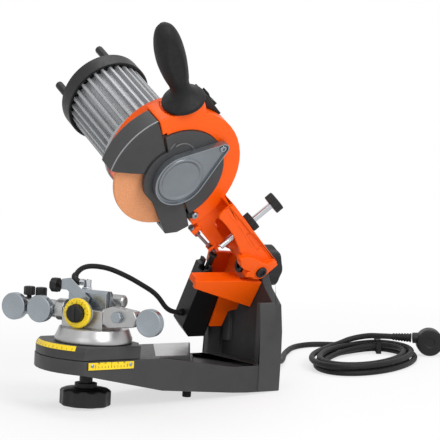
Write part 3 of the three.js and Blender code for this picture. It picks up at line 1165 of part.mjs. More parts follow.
// The assembly stands on its origin: centre of the footprint without the cord, feet at zero.
root.updateMatrixWorld(true);
const cordParts = ['mains_cord', 'cord_hank', 'cord_tie', 'plug_lead', 'plug_strain_relief', 'mains_plug'];
const bounds = new THREE.Box3();
root.traverse((node) => {
  if (node.isMesh && !cordParts.includes(node.name)) bounds.expandByObject(node, true);
});
const centre = bounds.getCenter(new THREE.Vector3());
root.position.set(-centre.x, -centre.y, -bounds.min.z);
root.updateMatrixWorld(true);

export default root;
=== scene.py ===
"""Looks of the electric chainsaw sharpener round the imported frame, in metres and in the same frame.

Shapes are drawn in the millimetres of a group of the part's source, such as VISE or WHEEL, and profiles are
(radius, station) pairs along an axis.
"""
import json
import math

import bmesh
import bpy
from mathutils import Matrix, Vector


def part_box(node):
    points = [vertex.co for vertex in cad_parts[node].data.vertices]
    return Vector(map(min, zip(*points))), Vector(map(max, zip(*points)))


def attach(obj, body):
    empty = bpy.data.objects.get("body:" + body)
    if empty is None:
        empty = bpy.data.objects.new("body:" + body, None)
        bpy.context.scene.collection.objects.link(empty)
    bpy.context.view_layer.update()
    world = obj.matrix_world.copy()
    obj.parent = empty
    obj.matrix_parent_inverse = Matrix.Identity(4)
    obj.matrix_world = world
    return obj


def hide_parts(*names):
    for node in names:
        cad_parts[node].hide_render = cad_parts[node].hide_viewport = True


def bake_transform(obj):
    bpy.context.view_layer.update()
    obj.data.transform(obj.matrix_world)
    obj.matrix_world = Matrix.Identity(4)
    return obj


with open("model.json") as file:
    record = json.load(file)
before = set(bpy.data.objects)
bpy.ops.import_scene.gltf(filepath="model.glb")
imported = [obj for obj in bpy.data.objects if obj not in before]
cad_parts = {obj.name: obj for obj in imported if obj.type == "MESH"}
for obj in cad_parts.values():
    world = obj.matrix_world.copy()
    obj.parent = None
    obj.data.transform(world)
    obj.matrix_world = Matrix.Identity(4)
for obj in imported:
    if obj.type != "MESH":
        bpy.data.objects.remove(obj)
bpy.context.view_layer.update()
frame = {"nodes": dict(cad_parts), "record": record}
scene = bpy.context.scene
scene.view_settings.view_transform = "Standard"

# ---------------------------------------------------------------- stance, as in the part's source
MM = 0.001
PITCH, TILT, ARM_ANGLE, SWIVEL = (math.radians(v) for v in (3.6, 30, 36, 28))
ARM_LENGTH, PIN_Y, PIN_Z, TILT_Z, REAR_Y = 206.5, 224.5, 18.5, 153, 250
NOSE = (-60, 31.4)
ARM_TOP, ARM_TAIL, ARM_RING, SCREW_BACK = (23.4, 31.6), -14, 84.5, 68
HANDLE_FOOT, HANDLE_TURN = (-8, -61.4, 68.1), 158.9


def turn(angle, axis):
    return Matrix.Rotation(angle, 4, axis)


def at(x, y, z):
    return Matrix.Translation((x, y, z))


# The millimetre groups of the part's source, each as a matrix into the shared frame.
base_low, base_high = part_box("base_casting")
shift = Vector((
    (base_low.x + base_high.x) / 2,
    base_low.y - (NOSE[0] * math.cos(PITCH) + NOSE[1] * math.sin(PITCH)) * MM,
    base_low.z,
))
FLOOR = Matrix.Translation(shift) @ Matrix.Scale(MM, 4)
MACHINE = FLOOR @ at(0, 0, REAR_Y * math.sin(PITCH)) @ turn(-PITCH, "X")
VISE = MACHINE @ turn(SWIVEL, "Z")
HEAD = MACHINE @ at(0, 0, TILT_Z) @ turn(TILT, "Y")
ARM = HEAD @ at(0, PIN_Y, PIN_Z) @ turn(-ARM_ANGLE, "X")
WHEEL = ARM @ at(0, -ARM_LENGTH, 0)
TOP_SLOPE = math.atan2(ARM_TOP[1] - ARM_TOP[0], ARM_LENGTH - ARM_RING - ARM_TAIL)
DEPTH = WHEEL @ at(22.5, ARM_LENGTH - SCREW_BACK, 0) @ turn(-TOP_SLOPE, "X")
BOSS = WHEEL @ at(*HANDLE_FOOT) @ turn(math.radians(HANDLE_TURN - 90), "X")

# ---------------------------------------------------------------- camera at the photo's angle
AZIMUTH, ELEVATION = math.radians(54), math.radians(5.4)
CAMERA_AT, SENSOR, LENS, CLIP = (1.732696, -1.057999, 0.4176), 36, 139.09, (0.05, 50)
ACROSS = Vector((math.cos(AZIMUTH), math.sin(AZIMUTH), 0))
AWAY = Vector((-math.sin(AZIMUTH), math.cos(AZIMUTH), 0))
forward = Vector((
    -math.sin(AZIMUTH) * math.cos(ELEVATION),
    math.cos(AZIMUTH) * math.cos(ELEVATION),
    -math.sin(ELEVATION),
))
camera = bpy.data.objects.new("camera", bpy.data.cameras.new("camera"))
camera.data.sensor_width, camera.data.lens = SENSOR, LENS
camera.data.clip_start, camera.data.clip_end = CLIP
camera.location = (CAMERA_AT[0] + shift.x, CAMERA_AT[1] + shift.y, CAMERA_AT[2])
camera.rotation_mode = "QUATERNION"
camera.rotation_quaternion = forward.to_track_quat("-Z", "Y")
scene.collection.objects.link(camera)
scene.camera = camera

# ---------------------------------------------------------------- which body and slot each node has
body_of = {n: b for b, nodes in frame["record"]["behaviour"]["bodies"].items() for n in nodes}
slot_of = {s["node"]: s["material_slot"] for s in frame["record"]["subparts"]}


# ---------------------------------------------------------------- procedural materials
def linear(red, green, blue):
    """The scene-linear colour of an sRGB one in steps of 0 to 255."""
    out = []
    for c in (red, green, blue):
        c /= 255
        out.append(c / 12.92 if c <= 0.04045 else ((c + 0.055) / 1.055) ** 2.4)
    return (*out, 1.0)


class Tree:
    """Small helper that adds and links shader nodes."""

    def __init__(self, name):
        self.material = bpy.data.materials.new(name)
        self.material.use_nodes = True
        self.tree = self.material.node_tree
        self.shader = self.tree.nodes["Principled BSDF"]

    def node(self, kind, **settings):
        made = self.tree.nodes.new(kind)
        for key, value in settings.items():
            setattr(made, key, value)
        return made

    def link(self, out, into):
        self.tree.links.new(out, into)

    def noise(self, cells, detail=3.0, stretch=(1, 1, 1)):
        place = self.node("ShaderNodeTexCoord")
        mapping = self.node("ShaderNodeMapping")
        mapping.inputs["Scale"].default_value = stretch
        made = self.node("ShaderNodeTexNoise")
        made.inputs["Scale"].default_value = cells
        made.inputs["Detail"].default_value = detail
        self.link(place.outputs["Object"], mapping.inputs["Vector"])
        self.link(mapping.outputs["Vector"], made.inputs["Vector"])
        return made.outputs["Fac"]

    def ranged(self, value, low, high, start=0.3, stop=0.7):
        made = self.node("ShaderNodeMapRange")
        for key, number in (("From Min", start), ("From Max", stop), ("To Min", low), ("To Max", high)):
            made.inputs[key].default_value = number
        self.link(value, made.inputs["Value"])
        return made.outputs["Result"]

    def mixed(self, factor, first, second):
        made = self.node("ShaderNodeMix", data_type="RGBA")
        self.link(factor, made.inputs[0])
        for socket, value in ((made.inputs[6], first), (made.inputs[7], second)):
            if isinstance(value, tuple):
                socket.default_value = value
            else:
                self.link(value, socket)
        return made.outputs[2]

    def bump(self, height, strength, depth):
        made = self.node("ShaderNodeBump")
        made.inputs["Strength"].default_value = strength
        made.inputs["Distance"].default_value = depth
        self.link(height, made.inputs["Height"])
        return made.outputs["Normal"]


def scaled(colour, factor):
    return (*(min(c * factor, 1.0) for c in colour[:3]), 1.0)


CLOUD_DETAIL, GRAIN_DETAIL, SHEEN_CELLS, EDGE_HIGHLIGHT_MOST, EDGE_HIGHLIGHT_POINTED = 4.0, 2.0, 3, 0.55, (0.53, 0.62)


def finish_of(name, colour, spread, cells, rough, metal=0.0, coat=0.0, coat_rough=0.1, grain=900.0,
              bump=0.15, depth=0.0001, stretch=(1, 1, 1), painted_edge_highlight=None, specular=0.5):
    """A material of clouded tone and roughness with a fine grain, and its sharp edges lightened as a painted
    highlight where an edge colour is given.
    """
    t = Tree(name)
    cloud = t.noise(cells, CLOUD_DETAIL, stretch)
    tone = t.mixed(t.ranged(cloud, 0.0, 1.0), scaled(colour, 1 - spread), scaled(colour, 1 + spread))
    # Sharp convex edges, found by their pointiness, are lightened: a painted highlight along the edges.
    if painted_edge_highlight is not None:
        edge = t.node("ShaderNodeNewGeometry").outputs["Pointiness"]
        tone = t.mixed(t.ranged(edge, 0.0, EDGE_HIGHLIGHT_MOST, *EDGE_HIGHLIGHT_POINTED), tone, painted_edge_highlight)
    t.link(tone, t.shader.inputs["Base Color"])
    sheen = t.noise(cells * SHEEN_CELLS, stretch=stretch)
    t.link(t.ranged(sheen, *rough), t.shader.inputs["Roughness"])
    t.link(t.bump(t.noise(grain, GRAIN_DETAIL, stretch), bump, depth), t.shader.inputs["Normal"])
    for socket, value in (("Metallic", metal), ("Specular IOR Level", specular), ("Coat Weight", coat),
                          ("Coat Roughness", coat_rough)):
        t.shader.inputs[socket].default_value = value
    return t.material


ORANGE = linear(250, 92, 4)
BLACK = linear(20, 20, 21)
# A look's lighter edge colour is a painted highlight on its sharp edges.
LOOKS = {
    "paint_orange": dict(colour=ORANGE, spread=0.05, cells=25, rough=(0.38, 0.46), grain=700, bump=0.12,
                         depth=0.00012, painted_edge_highlight=scaled(ORANGE, 1.15), specular=0.22),
    "paint_grey": dict(colour=linear(54, 54, 55), spread=0.1, cells=40, rough=(0.46, 0.56), grain=1100,
                       bump=0.3, depth=0.00015, painted_edge_highlight=linear(92, 92, 93), specular=0.35),
    "cover_grey": dict(colour=linear(56, 56, 57), spread=0.06, cells=60, rough=(0.44, 0.52), grain=1600,
                       bump=0.2, painted_edge_highlight=linear(88, 88, 89), specular=0.4),
    "black_plastic": dict(colour=BLACK, spread=0.12, cells=70, rough=(0.4, 0.52), grain=1500, bump=0.2,
                          painted_edge_highlight=linear(46, 46, 47), specular=0.3),
    "black_rubber": dict(colour=BLACK, spread=0.12, cells=70, rough=(0.55, 0.68), grain=1400, bump=0.25,
                         specular=0.3),
    "plain_steel": dict(colour=linear(150, 157, 163), spread=0.05, cells=60, rough=(0.26, 0.32), metal=0.9,
                        grain=5200, bump=0.05, depth=0.00002),
    "cast_alloy": dict(colour=linear(172, 172, 172), spread=0.06, cells=50, rough=(0.3, 0.38), metal=0.85,
                       grain=1400, bump=0.12, depth=0.00005),
    "black_steel": dict(colour=linear(26, 26, 27), spread=0.15, cells=120, rough=(0.34, 0.44), metal=0.4,
                        grain=1500, depth=0.00006, painted_edge_highlight=linear(60, 60, 62), specular=0.4),
    "bright_chrome": dict(colour=linear(196, 200, 204), spread=0.04, cells=90, rough=(0.1, 0.16), metal=1.0,
                          bump=0.05, depth=0.00004),
    "scale_yellow": dict(colour=linear(250, 214, 22), spread=0.04, cells=60, rough=(0.38, 0.46), coat=0.1,
                         coat_rough=0.2, grain=1200, bump=0.08, depth=0.00005),
    "rib_alloy": dict(colour=linear(170, 172, 174), spread=0.03, cells=40, rough=(0.46, 0.52), metal=0.25,
                      grain=1800, bump=0.1, depth=0.00004),
    "motor_copper": dict(colour=linear(150, 92, 56), spread=0.2, cells=300, rough=(0.4, 0.5), metal=0.8,
                         bump=0.3, stretch=(0.1, 1, 1)),
    "nut_cover_gunmetal": dict(colour=linear(128, 134, 139), spread=0.05, cells=50, rough=(0.3, 0.38),
                               metal=0.8, grain=3000, bump=0.06, depth=0.00003, painted_edge_highlight=linear(214, 218, 222)),
    "print_black": dict(colour=linear(20, 20, 20), spread=0.1, cells=200, rough=(0.5, 0.6)),
    "arrow_painted_highlight": dict(colour=linear(92, 92, 93), spread=0.06, cells=90, rough=(0.35, 0.42)),
    "hood_crease_painted_highlight": dict(colour=linear(140, 141, 143), spread=0.06, cells=90, rough=(0.3, 0.36)),
}
finishes = {name: finish_of(name, **look) for name, look in LOOKS.items()}


def stone():
    t = Tree("wheel_stone")
    grit = t.node("ShaderNodeTexVoronoi")
    place = t.node("ShaderNodeTexCoord")
    t.link(place.outputs["Object"], grit.inputs["Vector"])
    grit.inputs["Scale"].default_value = 1500
    cloud = t.noise(900, 4.0)
    body = t.mixed(t.ranged(cloud, 0.0, 1.0), linear(208, 134, 88), linear(240, 172, 128))
    spots = t.mixed(t.ranged(grit.outputs["Distance"], 1.0, 0.0, 0.05, 0.35), body, linear(216, 146, 102))
    drift = t.mixed(t.ranged(t.noise(40, 3.0), 0.0, 0.35), spots, linear(232, 156, 108))
    t.link(drift, t.shader.inputs["Base Color"])
    t.link(t.ranged(cloud, 0.8, 0.95), t.shader.inputs["Roughness"])
    t.link(t.bump(t.noise(1800, 3.0), 0.7, 0.0003), t.shader.inputs["Normal"])
    t.shader.inputs["Specular IOR Level"].default_value = 0.25
    return t.material


finishes["wheel_stone"] = stone()


# ---------------------------------------------------------------- mesh helpers, in a group's own millimetres
SHARP_FROM, CORD_SHARP_FROM, FLAT_UNDER, SAME_POINT = 38, 50, 1.2, 2e-6


def new_object(name, mesh):
    made = bpy.data.objects.new(name, mesh)
    scene.collection.objects.link(made)
    return made


def mesh_of(points, faces):
    """A mesh whose faces all look outward."""
    made = bpy.data.meshes.new("shape")
    made.from_pydata([tuple(p) for p in points], [], [tuple(f) for f in faces])
    b = bmesh.new()
    b.from_mesh(made)
    bmesh.ops.recalc_face_normals(b, faces=b.faces)
    b.to_mesh(made)
    b.free()
    return made


def to_axis(axis, u, v, s):
    """A point from its station on an axis and its place across that axis."""
    return {"x": (s, u, v), "y": (u, s, v), "z": (u, v, s)}[axis]


def lathe(axis, profile, steps, centre=(0, 0), radius_at=None, start=0.0, sweep=math.tau):
    """Turned shape of [radius, station] pairs. An open sweep takes a closed profile and gets end caps."""
    whole = abs(sweep - math.tau) < 1e-6
    count = steps if whole else steps + 1
    points, faces, rings = [], [], []
    for radius, station in profile:
        if radius == 0 and whole:
            rings.append([len(points)])
            points.append(to_axis(axis, centre[0], centre[1], station))
            continue
        rings.append(list(range(len(points), len(points) + count)))
        for i in range(count):
            angle = start + sweep * i / steps
            r = radius if radius_at is None else radius_at(radius, angle)
            across, up = centre[0] + r * math.cos(angle), centre[1] + r * math.sin(angle)
            points.append(to_axis(axis, across, up, station))
    closed = profile[0][0] != 0 or not whole
    for a, b in zip(rings, rings[1:] + (rings[:1] if closed else [])):
        for i in range(steps):
            j = (i + 1) % count
            if len(a) == 1:
                faces.append((a[0], b[j], b[i]))
            elif len(b) == 1:
                faces.append((a[i], a[j], b[0]))
            else:
                faces.append((a[i], a[j], b[j], b[i]))
    if not whole:
        faces.append([r[0] for r in rings])
        faces.append([r[-1] for r in rings])
    return mesh_of(points, faces)


def prism(axis, outline, span):
    """An outline in the two other axes, drawn along an axis."""
    low = [to_axis(axis, u, v, span[0]) for u, v in outline]
    high = [to_axis(axis, u, v, span[1]) for u, v in outline]
    count = len(outline)
    sides = [(i, (i + 1) % count, count + (i + 1) % count, count + i) for i in range(count)]
    return mesh_of(low + high, [list(range(count)), list(range(count, 2 * count)), *sides])


def brick(x, y, z):
    """A box out of the low and high ends on each axis."""
    return prism("z", [(x[0], y[0]), (x[1], y[0]), (x[1], y[1]), (x[0], y[1])], z)


def ring_points(radius, steps, centre):
    """Dots round a circle."""
    angles = [math.tau * i / steps for i in range(steps)]
    return [(centre[0] + radius * math.cos(a), centre[1] + radius * math.sin(a)) for a in angles]


def evaluated(obj):
    """Puts the modifiers of an object into its mesh."""
    graph = bpy.context.evaluated_depsgraph_get()
    made = bpy.data.meshes.new_from_object(obj.evaluated_get(graph))
    obj.modifiers.clear()
    obj.data = made


def combined(meshes, kind="UNION"):
    """Joins meshes into the first of them, or cuts them out of it."""
    first = new_object("first", meshes[0])
    helpers = [new_object("other", mesh) for mesh in meshes[1:]]
    for other in helpers:
        made = first.modifiers.new("part", "BOOLEAN")
        made.operation, made.solver, made.object = kind, "EXACT", other
    evaluated(first)
    mesh = first.data
    for o in [first, *helpers]:
        bpy.data.objects.remove(o)
    return mesh


def rounded(obj, width, segments=2, angle=30):
    """Rounds the edges by a bevel, and smooths the shading where faces meet softly."""
    if width:
        made = obj.modifiers.new("edges", "BEVEL")
        made.width, made.segments = width * MM, segments
        made.limit_method, made.angle_limit = "ANGLE", math.radians(angle)
        made.use_clamp_overlap = False
        evaluated(obj)
    obj.data.shade_smooth()
    obj.data.set_sharp_from_angle(angle=math.radians(SHARP_FROM))
    made = obj.modifiers.new("weights", "WEIGHTED_NORMAL")
    made.keep_sharp = True
    return obj


def settled(obj, node, extra=(), material=None, slot=None, replace=True):
    """Gives a finished piece the material of a finish, a slot or its node's slot, and its body, and hides the
    nodes that it stands for.
    """
    obj.data.materials.clear()
    obj.data.materials.append(finishes[material or slot or slot_of[node]])
    for polygon in obj.data.polygons:
        polygon.material_index = 0
    if replace:
        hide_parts(node, *extra)
    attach(obj, body_of[node])
    return obj


def piece(name, node, mesh, group, width=0.0, segments=2, angle=30, **more):
    """A new piece for a node, from a mesh in the millimetres of its group."""
    mesh.transform(group)
    obj = new_object(name, mesh)
    return settled(rounded(obj, width, segments, angle), node, **more)


def copied(node, width, cuts=(), moved=None, **more):
    """A rounded copy of a node, in the place of that node, after its own cuts or moves."""
    obj = new_object(node + "_cast", frame["nodes"][node].data.copy())
    b = bmesh.new()
    b.from_mesh(obj.data)
    bmesh.ops.remove_doubles(b, verts=b.verts, dist=SAME_POINT)
    bmesh.ops.dissolve_limit(b, angle_limit=math.radians(FLAT_UNDER), verts=b.verts, edges=b.edges)
    b.to_mesh(obj.data)
    b.free()
    for mesh, group in cuts:
        mesh.transform(group)
        obj.data = combined([obj.data, mesh], "DIFFERENCE")
    if moved:
        moved(obj.data)
    return settled(rounded(obj, width), node, **more)


# ---------------------------------------------------------------- cords and hose
CURVE_SAMPLES, SHORTEST = 24, 1e-9
CORD_SIDES, CORD_STEP, FREE_STEP, LEAD_STEP, HOSE_STEP = 14, 0.004, 0.010, 0.006, 0.003


def on_floor(across, away, z):
    """A place on the floor, in millimetres to the right of the photo, away from its viewer and up."""
    return FLOOR @ (ACROSS * across + AWAY * away + Vector((0, 0, z)))


def catmull(points, spacing):
    """Centripetal curve through the points, sampled at an even spacing."""
    first = points[0] * 2 - points[1]
    last = points[-1] * 2 - points[-2]
    pts = [first, *points, last]
    dense = []
    for p0, p1, p2, p3 in zip(pts, pts[1:], pts[2:], pts[3:]):
        t1 = max((p1 - p0).length, SHORTEST) ** 0.5
        t2 = t1 + max((p2 - p1).length, SHORTEST) ** 0.5
        t3 = t2 + max((p3 - p2).length, SHORTEST) ** 0.5
        for k in range(CURVE_SAMPLES):
            t = t1 + (t2 - t1) * k / CURVE_SAMPLES
            a1 = p0 * ((t1 - t) / t1) + p1 * (t / t1)
            a2 = p1 * ((t2 - t) / (t2 - t1)) + p2 * ((t - t1) / (t2 - t1))
            a3 = p2 * ((t3 - t) / (t3 - t2)) + p3 * ((t - t2) / (t3 - t2))
            b1 = a1 * ((t2 - t) / t2) + a2 * (t / t2)
            b2 = a2 * ((t3 - t) / (t3 - t1)) + a3 * ((t - t1) / (t3 - t1))
            dense.append(b1 * ((t2 - t) / (t2 - t1)) + b2 * ((t - t1) / (t2 - t1)))
    dense.append(points[-1])
    return evenly(dense, spacing)


def evenly(dense, spacing):
    """Points at equal steps along a dense line."""
    total = sum((b - a).length for a, b in zip(dense, dense[1:]))
    count = max(2, round(total / spacing))
    out, walked, want = [dense[0].copy()], 0.0, total / count
    for a, b in zip(dense, dense[1:]):
        step = (b - a).length
        while step > 0 and len(out) < count and walked + step >= want * len(out) - 1e-12:
            part = (want * len(out) - walked) / step
            out.append(a + (b - a) * part)
        walked += step
    out.append(dense[-1].copy())
    return out


def tube(name, points, radius, sides):
    """A round mesh tube along points, its frame carried without twist."""
    verts, faces = [], []
    side = Vector((0, 0, 1)).cross(points[1] - points[0]).normalized()
    for i, p in enumerate(points):
        way = (points[min(i + 1, len(points) - 1)] - points[max(i - 1, 0)]).normalized()
        side = (side - way * side.dot(way)).normalized()
        top = way.cross(side)
        for k in range(sides):
            a = math.tau * k / sides
            verts.append(p + side * (radius * math.cos(a)) + top * (radius * math.sin(a)))
    for i in range(len(points) - 1):
        for k in range(sides):
            a, b = i * sides + k, i * sides + (k + 1) % sides
            faces.append((a, b, b + sides, a + sides))
    faces.append(list(range(sides)))
    faces.append([(len(points) - 1) * sides + k for k in range(sides)])
    obj = new_object(name, mesh_of(verts, faces))
    obj.data.shade_smooth()
    obj.data.set_sharp_from_angle(angle=math.radians(CORD_SHARP_FROM))
    return obj


CORD_RADIUS, HOSE_RADIUS, HOSE_DIAMETER = 4.0, 3.2, 0.0064
HANK_END, RUN_IN, GAP = 8, 6, 0.3
HANK = {"centre": (361, 293), "half": (70, 102), "shear": 0.27, "pitch": (10.5, 13), "start": 80,
        "turn": 1370, "climb": 180, "step": 15, "z": 4.15, "rise": 8.8, "tie_at": 90, "tie_reach": 40,
        "tie_lift": 1.3}


def hank_point(angle):
    """The hank's line at an angle along it: inward in two layers, lifted where the tie holds it."""
    layer = (HANK["turn"] - HANK["climb"]) / 2
    inward = min(angle, HANK["turn"] - angle, layer) / 360
    share = min(max((angle - layer) / HANK["climb"], 0), 1)
    climb = share * share * (3 - 2 * share)
    phi = math.radians(HANK["start"] - angle)
    off = math.acos(max(-1, min(1, math.cos(phi - math.radians(HANK["tie_at"])))))
    near = min(off / math.radians(HANK["tie_reach"]), 1)
    lift = HANK["tie_lift"] * (0.5 + 0.5 * math.cos(math.pi * near))
    across = (HANK["half"][0] - HANK["pitch"][0] * inward) * math.cos(phi)
    away = (HANK["half"][1] - HANK["pitch"][1] * inward) * math.sin(phi)
    return on_floor(HANK["centre"][0] + across + HANK["shear"] * away, HANK["centre"][1] + away,
                    HANK["z"] + HANK["rise"] * climb + lift)


loops = [hank_point(HANK["step"] * i) for i in range(round(HANK["turn"] / HANK["step"]) + 1)]
hank_in = loops[1] - loops[0]
hank_in.z = 0
hank_in.normalize()
hank_out = (loops[-1] - loops[-2]).normalized()
hank = [loops[0] - hank_in * HANK_END * MM, *loops, loops[-1] + hank_out * HANK_END * MM]

# The mains cord, from the gland over the floor into the hank and out to the plug's strain relief.
GLAND = (-38, 48, 22)
FREE = [(213.6, 202.8, 43.5), (227.1, 218.2, 32), (237.9, 240.8, 17), (244.5, 269.1, 7.5), (249, 302, 4.3),
        (252.3, 336.6, 4.2), (258.8, 370.5, 4.2), (266, 394.6, 4.2), (278, 413, 4.2), (296, 424, 4.2),
        (317, 424.5, 4.2), (339, 418, 4.4), (360, 408, 4.9)]
LEAD = [(334, 365.5, 16.5), (346, 372.5, 20), (361, 376, 23), (376, 373, 25.4), (388, 367.5, 26)]
gland_tip, gland_run = (
    MACHINE @ Vector((GLAND[0], REAR_Y + GLAND[2] + past, GLAND[1])) for past in (GAP, RUN_IN))
free = [gland_tip, gland_run, *[on_floor(*p) for p in FREE],
        hank[0] - hank_in * RUN_IN * MM, hank[0] - hank_in * GAP * MM]
RELIEF_FROM, RELIEF_TO = (406, 362, 26), (433.6, 357, 25)
relief_from, relief_to = on_floor(*RELIEF_FROM), on_floor(*RELIEF_TO)
relief_way = (relief_to - relief_from).normalized()
lead = [hank[-1] + hank_out * GAP * MM, hank[-1] + hank_out * RUN_IN * MM, *[on_floor(*p) for p in LEAD],
        relief_from - relief_way * RUN_IN * MM, relief_from - relief_way * GAP * MM]
cord_smooth = catmull([*catmull(free, FREE_STEP), *hank[1:-1], *catmull(lead, LEAD_STEP)], CORD_STEP)
mains = tube("mains_cord_flex", cord_smooth, CORD_RADIUS * MM, CORD_SIDES)
settled(mains, "mains_cord", ("cord_hank", "plug_lead"))

# The hose, from the elbow at the vise's fitting to the pump. It is in three lengths that overlap, each
# listed with two bodies that are jointed to each other.
HOSE = [(-38.5, 4.3, 144.2), (-40.8, 11.4, 148.4), (-42, 19.8, 150.6), (-41.8, 28.8, 150.6),
        (-41, 37.2, 149.9), (-40.4, 45.9, 148.5), (-39.8, 54.4, 146.3), (-38.8, 62.4, 143.4),
        (-37.8, 70, 140.1), (-37, 78.4, 136.7), (-36.5, 86.1, 133), (-36.3, 94.1, 128.9),
        (-35.9, 101.2, 125.2), (-35.4, 108.1, 121.7), (-35, 115.5, 117.5), (-34.4, 121.2, 113.3),
        (-33.9, 125.6, 108.4), (-34, 130, 102.5), (-35.1, 138.5, 94.1)]
FITTING, ELBOW, ELBOW_END = (-22.5, 15, 132.5), [(1.5, 0), (-3, 0), (-7, 2.4)], (-31.5, 15.5, 138.5)
PUMP_PORT, HOSE_SHORT, HOSE_ROUNDS = (155, -72), (4, 0.4), 12
HOSE_EARLY, HOSE_LATE, OVERLAP = 0.36, 0.68, 2
ELBOW_RADIUS, ELBOW_SIDES, ELBOW_STEP = 4.1, 20, 0.0012
hose_path = catmull([
    VISE @ Vector(ELBOW_END),
    *[MACHINE @ Vector(p) for p in HOSE],
    *[HEAD @ Vector((0, PUMP_PORT[0] - short, PUMP_PORT[1])) for short in HOSE_SHORT],
], HOSE_STEP)
for _ in range(HOSE_ROUNDS):
    inner = [(a + b * 2 + c) / 4 for a, b, c in zip(hose_path, hose_path[1:], hose_path[2:])]
    hose_path = [hose_path[0], *inner, hose_path[-1]]
elbow = [VISE @ Vector((FITTING[0] + x, FITTING[1], FITTING[2] + z)) for x, z in ELBOW]
hose_elbow = tube("hose_elbow", catmull([*elbow, *hose_path[:2]], ELBOW_STEP),
                  ELBOW_RADIUS * MM, ELBOW_SIDES)
settled(hose_elbow, "hose_fitting", slot="black_steel", replace=False)
early, late = round(len(hose_path) * HOSE_EARLY), round(len(hose_path) * HOSE_LATE)
HOSE_PARTS = {
    "hose_at_vise": (hose_path[:early + OVERLAP], "carriage", "vise", hose_path[early], hose_path[2]),
    "hose_between": (hose_path[early - OVERLAP:late + OVERLAP], "base", "carriage", hose_path[late],
                     hose_path[early]),
    "hose_at_pump": (hose_path[late - OVERLAP:][::-1], "base", "tilt_head", hose_path[late], hose_path[-3]),
}
hoses = {}
for name, (line, still, moving, start, end) in HOSE_PARTS.items():
    hoses[name] = tube(name, line, HOSE_RADIUS * MM, CORD_SIDES)
    hoses[name].data.materials.append(finishes["black_rubber"])
    if name == "hose_at_vise":
        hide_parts("hydraulic_hose")
    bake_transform(hoses[name])

# ---------------------------------------------------------------- castings: rounded copies in place
CASTINGS = {
    "base_casting": 1.3, "side_scale_plate": 0.2, "cord_tie": 0.3, "vise_body": 1.2, "fixed_jaw": 0.5,
    "moving_jaw": 0.5, "ear_bolt": 0.5, "chain_stop_arm": 0.4, "slave_cylinder": 0.5, "hose_fitting": 0.4,
    "left_arm_tube": 0.5, "right_arm_tube": 0.5, "tilt_bracket": 0.7, "pump_cover": 0.8,
    "motor_end_cap": 0.8, "motor_stator": 0.3, "lower_guard": 0.7, "rocker_switch": 0.5, "push_rod": 0.3,
    "rotor_shaft": 0.3, "flange_nut": 0.4,
}
for node, width in CASTINGS.items():
    copied(node, width)

# The near side of the arm ends at a curve, under which the hollow of the arm shows, with its web's edge.
under_strap = [(76, -8), (76, 3), (81, 4.6), (90.9, 7.4), (110, 7.2), (128.5, 5.2), (150.3, 0.3), (158, -2.6),
               (150, -8)]
web_end = [(114, 14), (115, 3.2), (119, -2.8), (139.7, -5.4), (165.3, -7.9), (200, -7.8), (200, 24),
           (114, 24)]
web_edge = [(100, -17), (160, -20.4), (162.5, -23.4), (145, -23), (112, -21.2)]
copied("arm_casting", 1.1,
       cuts=[(prism("x", under_strap, (28, 35)), WHEEL), (prism("x", web_end, (-2, 6)), WHEEL)])
piece("web_edge", "arm_casting", prism("x", web_edge, (-1, 5)), WHEEL, 0.5, replace=False)
copied("pump_cylinder", 0.4, material="black_steel")
copied("motor_housing", 0.35, material="rib_alloy")
copied("switch_box", 0.9, cuts=[(brick((-40, 0), (-11, 30), (60, 110)), WHEEL)])

# The carriage's nose is an arc, whose upper edge is cut to a slope for the swivel scale.
NOSE_FRONT, NOSE_BACK, NOSE_HALF = -59, -38, 55.5
NOSE_SAG = NOSE_BACK - NOSE_FRONT
NOSE_R = (NOSE_HALF ** 2 + NOSE_SAG ** 2) / (2 * NOSE_SAG)
NOSE_MID = NOSE_R + NOSE_FRONT
bevel_ring = lathe("z", [(NOSE_R + 3, 54.5), (NOSE_R + 3, 69), (NOSE_R - 6.5, 69)], 96, (0, NOSE_MID),
                   start=math.radians(-150), sweep=math.radians(120))
copied("vise_carriage", 1.0, cuts=[(bevel_ring, MACHINE)])

# A bright alloy patch on the deck behind the carriage: painted light on the deck, its far diagonal edge drawn
# along the edge of the head's shadow.
painted_deck_light = [(41, 72), (42, 118), (32, 126.6), (-54, 187), (-54, 132)]
piece("painted_deck_light", "base_casting", prism("z", painted_deck_light, (48, 48.6)), MACHINE, 0.2, 1,
      slot="cast_alloy", replace=False)

# The side cover is drawn in to the size in the photo, and the arm's ring fills the room round it.
COVER_MID, COVER_R, COVER_SHOWN, COVER_RIM = (4, 2), 67.6, 64.4, 55


def drawn_in(mesh):
    """Narrows the side cover, round its own middle, to the size that the photo shows."""
    back = WHEEL.inverted()
    for v in mesh.vertices:
        at_wheel = back @ v.co
        off = Vector((at_wheel.y - COVER_MID[0], at_wheel.z - COVER_MID[1]))
        if off.length > COVER_RIM:
            off *= COVER_SHOWN / COVER_R
            v.co = WHEEL @ Vector((at_wheel.x, COVER_MID[0] + off.x, COVER_MID[1] + off.y))


copied("side_cover", 0.7, moved=drawn_in)
ring_lip = [(COVER_SHOWN + 0.4, 4), (COVER_SHOWN + 0.4, 9.6), (COVER_SHOWN + 0.7, 9.96), (68.4, 9.96),
            (68.4, 4)]
piece("ring_lip", "arm_casting",
      lathe("x", ring_lip, 96, COVER_MID, start=math.radians(-13.6), sweep=math.radians(170)), WHEEL,
      replace=False)


# ---------------------------------------------------------------- turned and lobed pieces
def lobes(count, dent, outer):
    """A radius that dips between the lobes of a grip, most of all at its outer radius."""
    def radius_at(radius, angle):
        return radius - dent * (radius / outer) ** 6 * (0.5 + 0.5 * math.cos(count * angle))
    return radius_at


PEG = [(0, -6.5), (4.9, -6.5), (5.5, -5.9), (5.5, 24.7), (0, 24.7)]
for side, x in (("left", -26.7), ("right", 26.7)):
    piece(f"bench_peg_{side}_rubber", f"bench_peg_{side}", lathe("z", PEG, 32, (x, 130.8)), MACHINE)

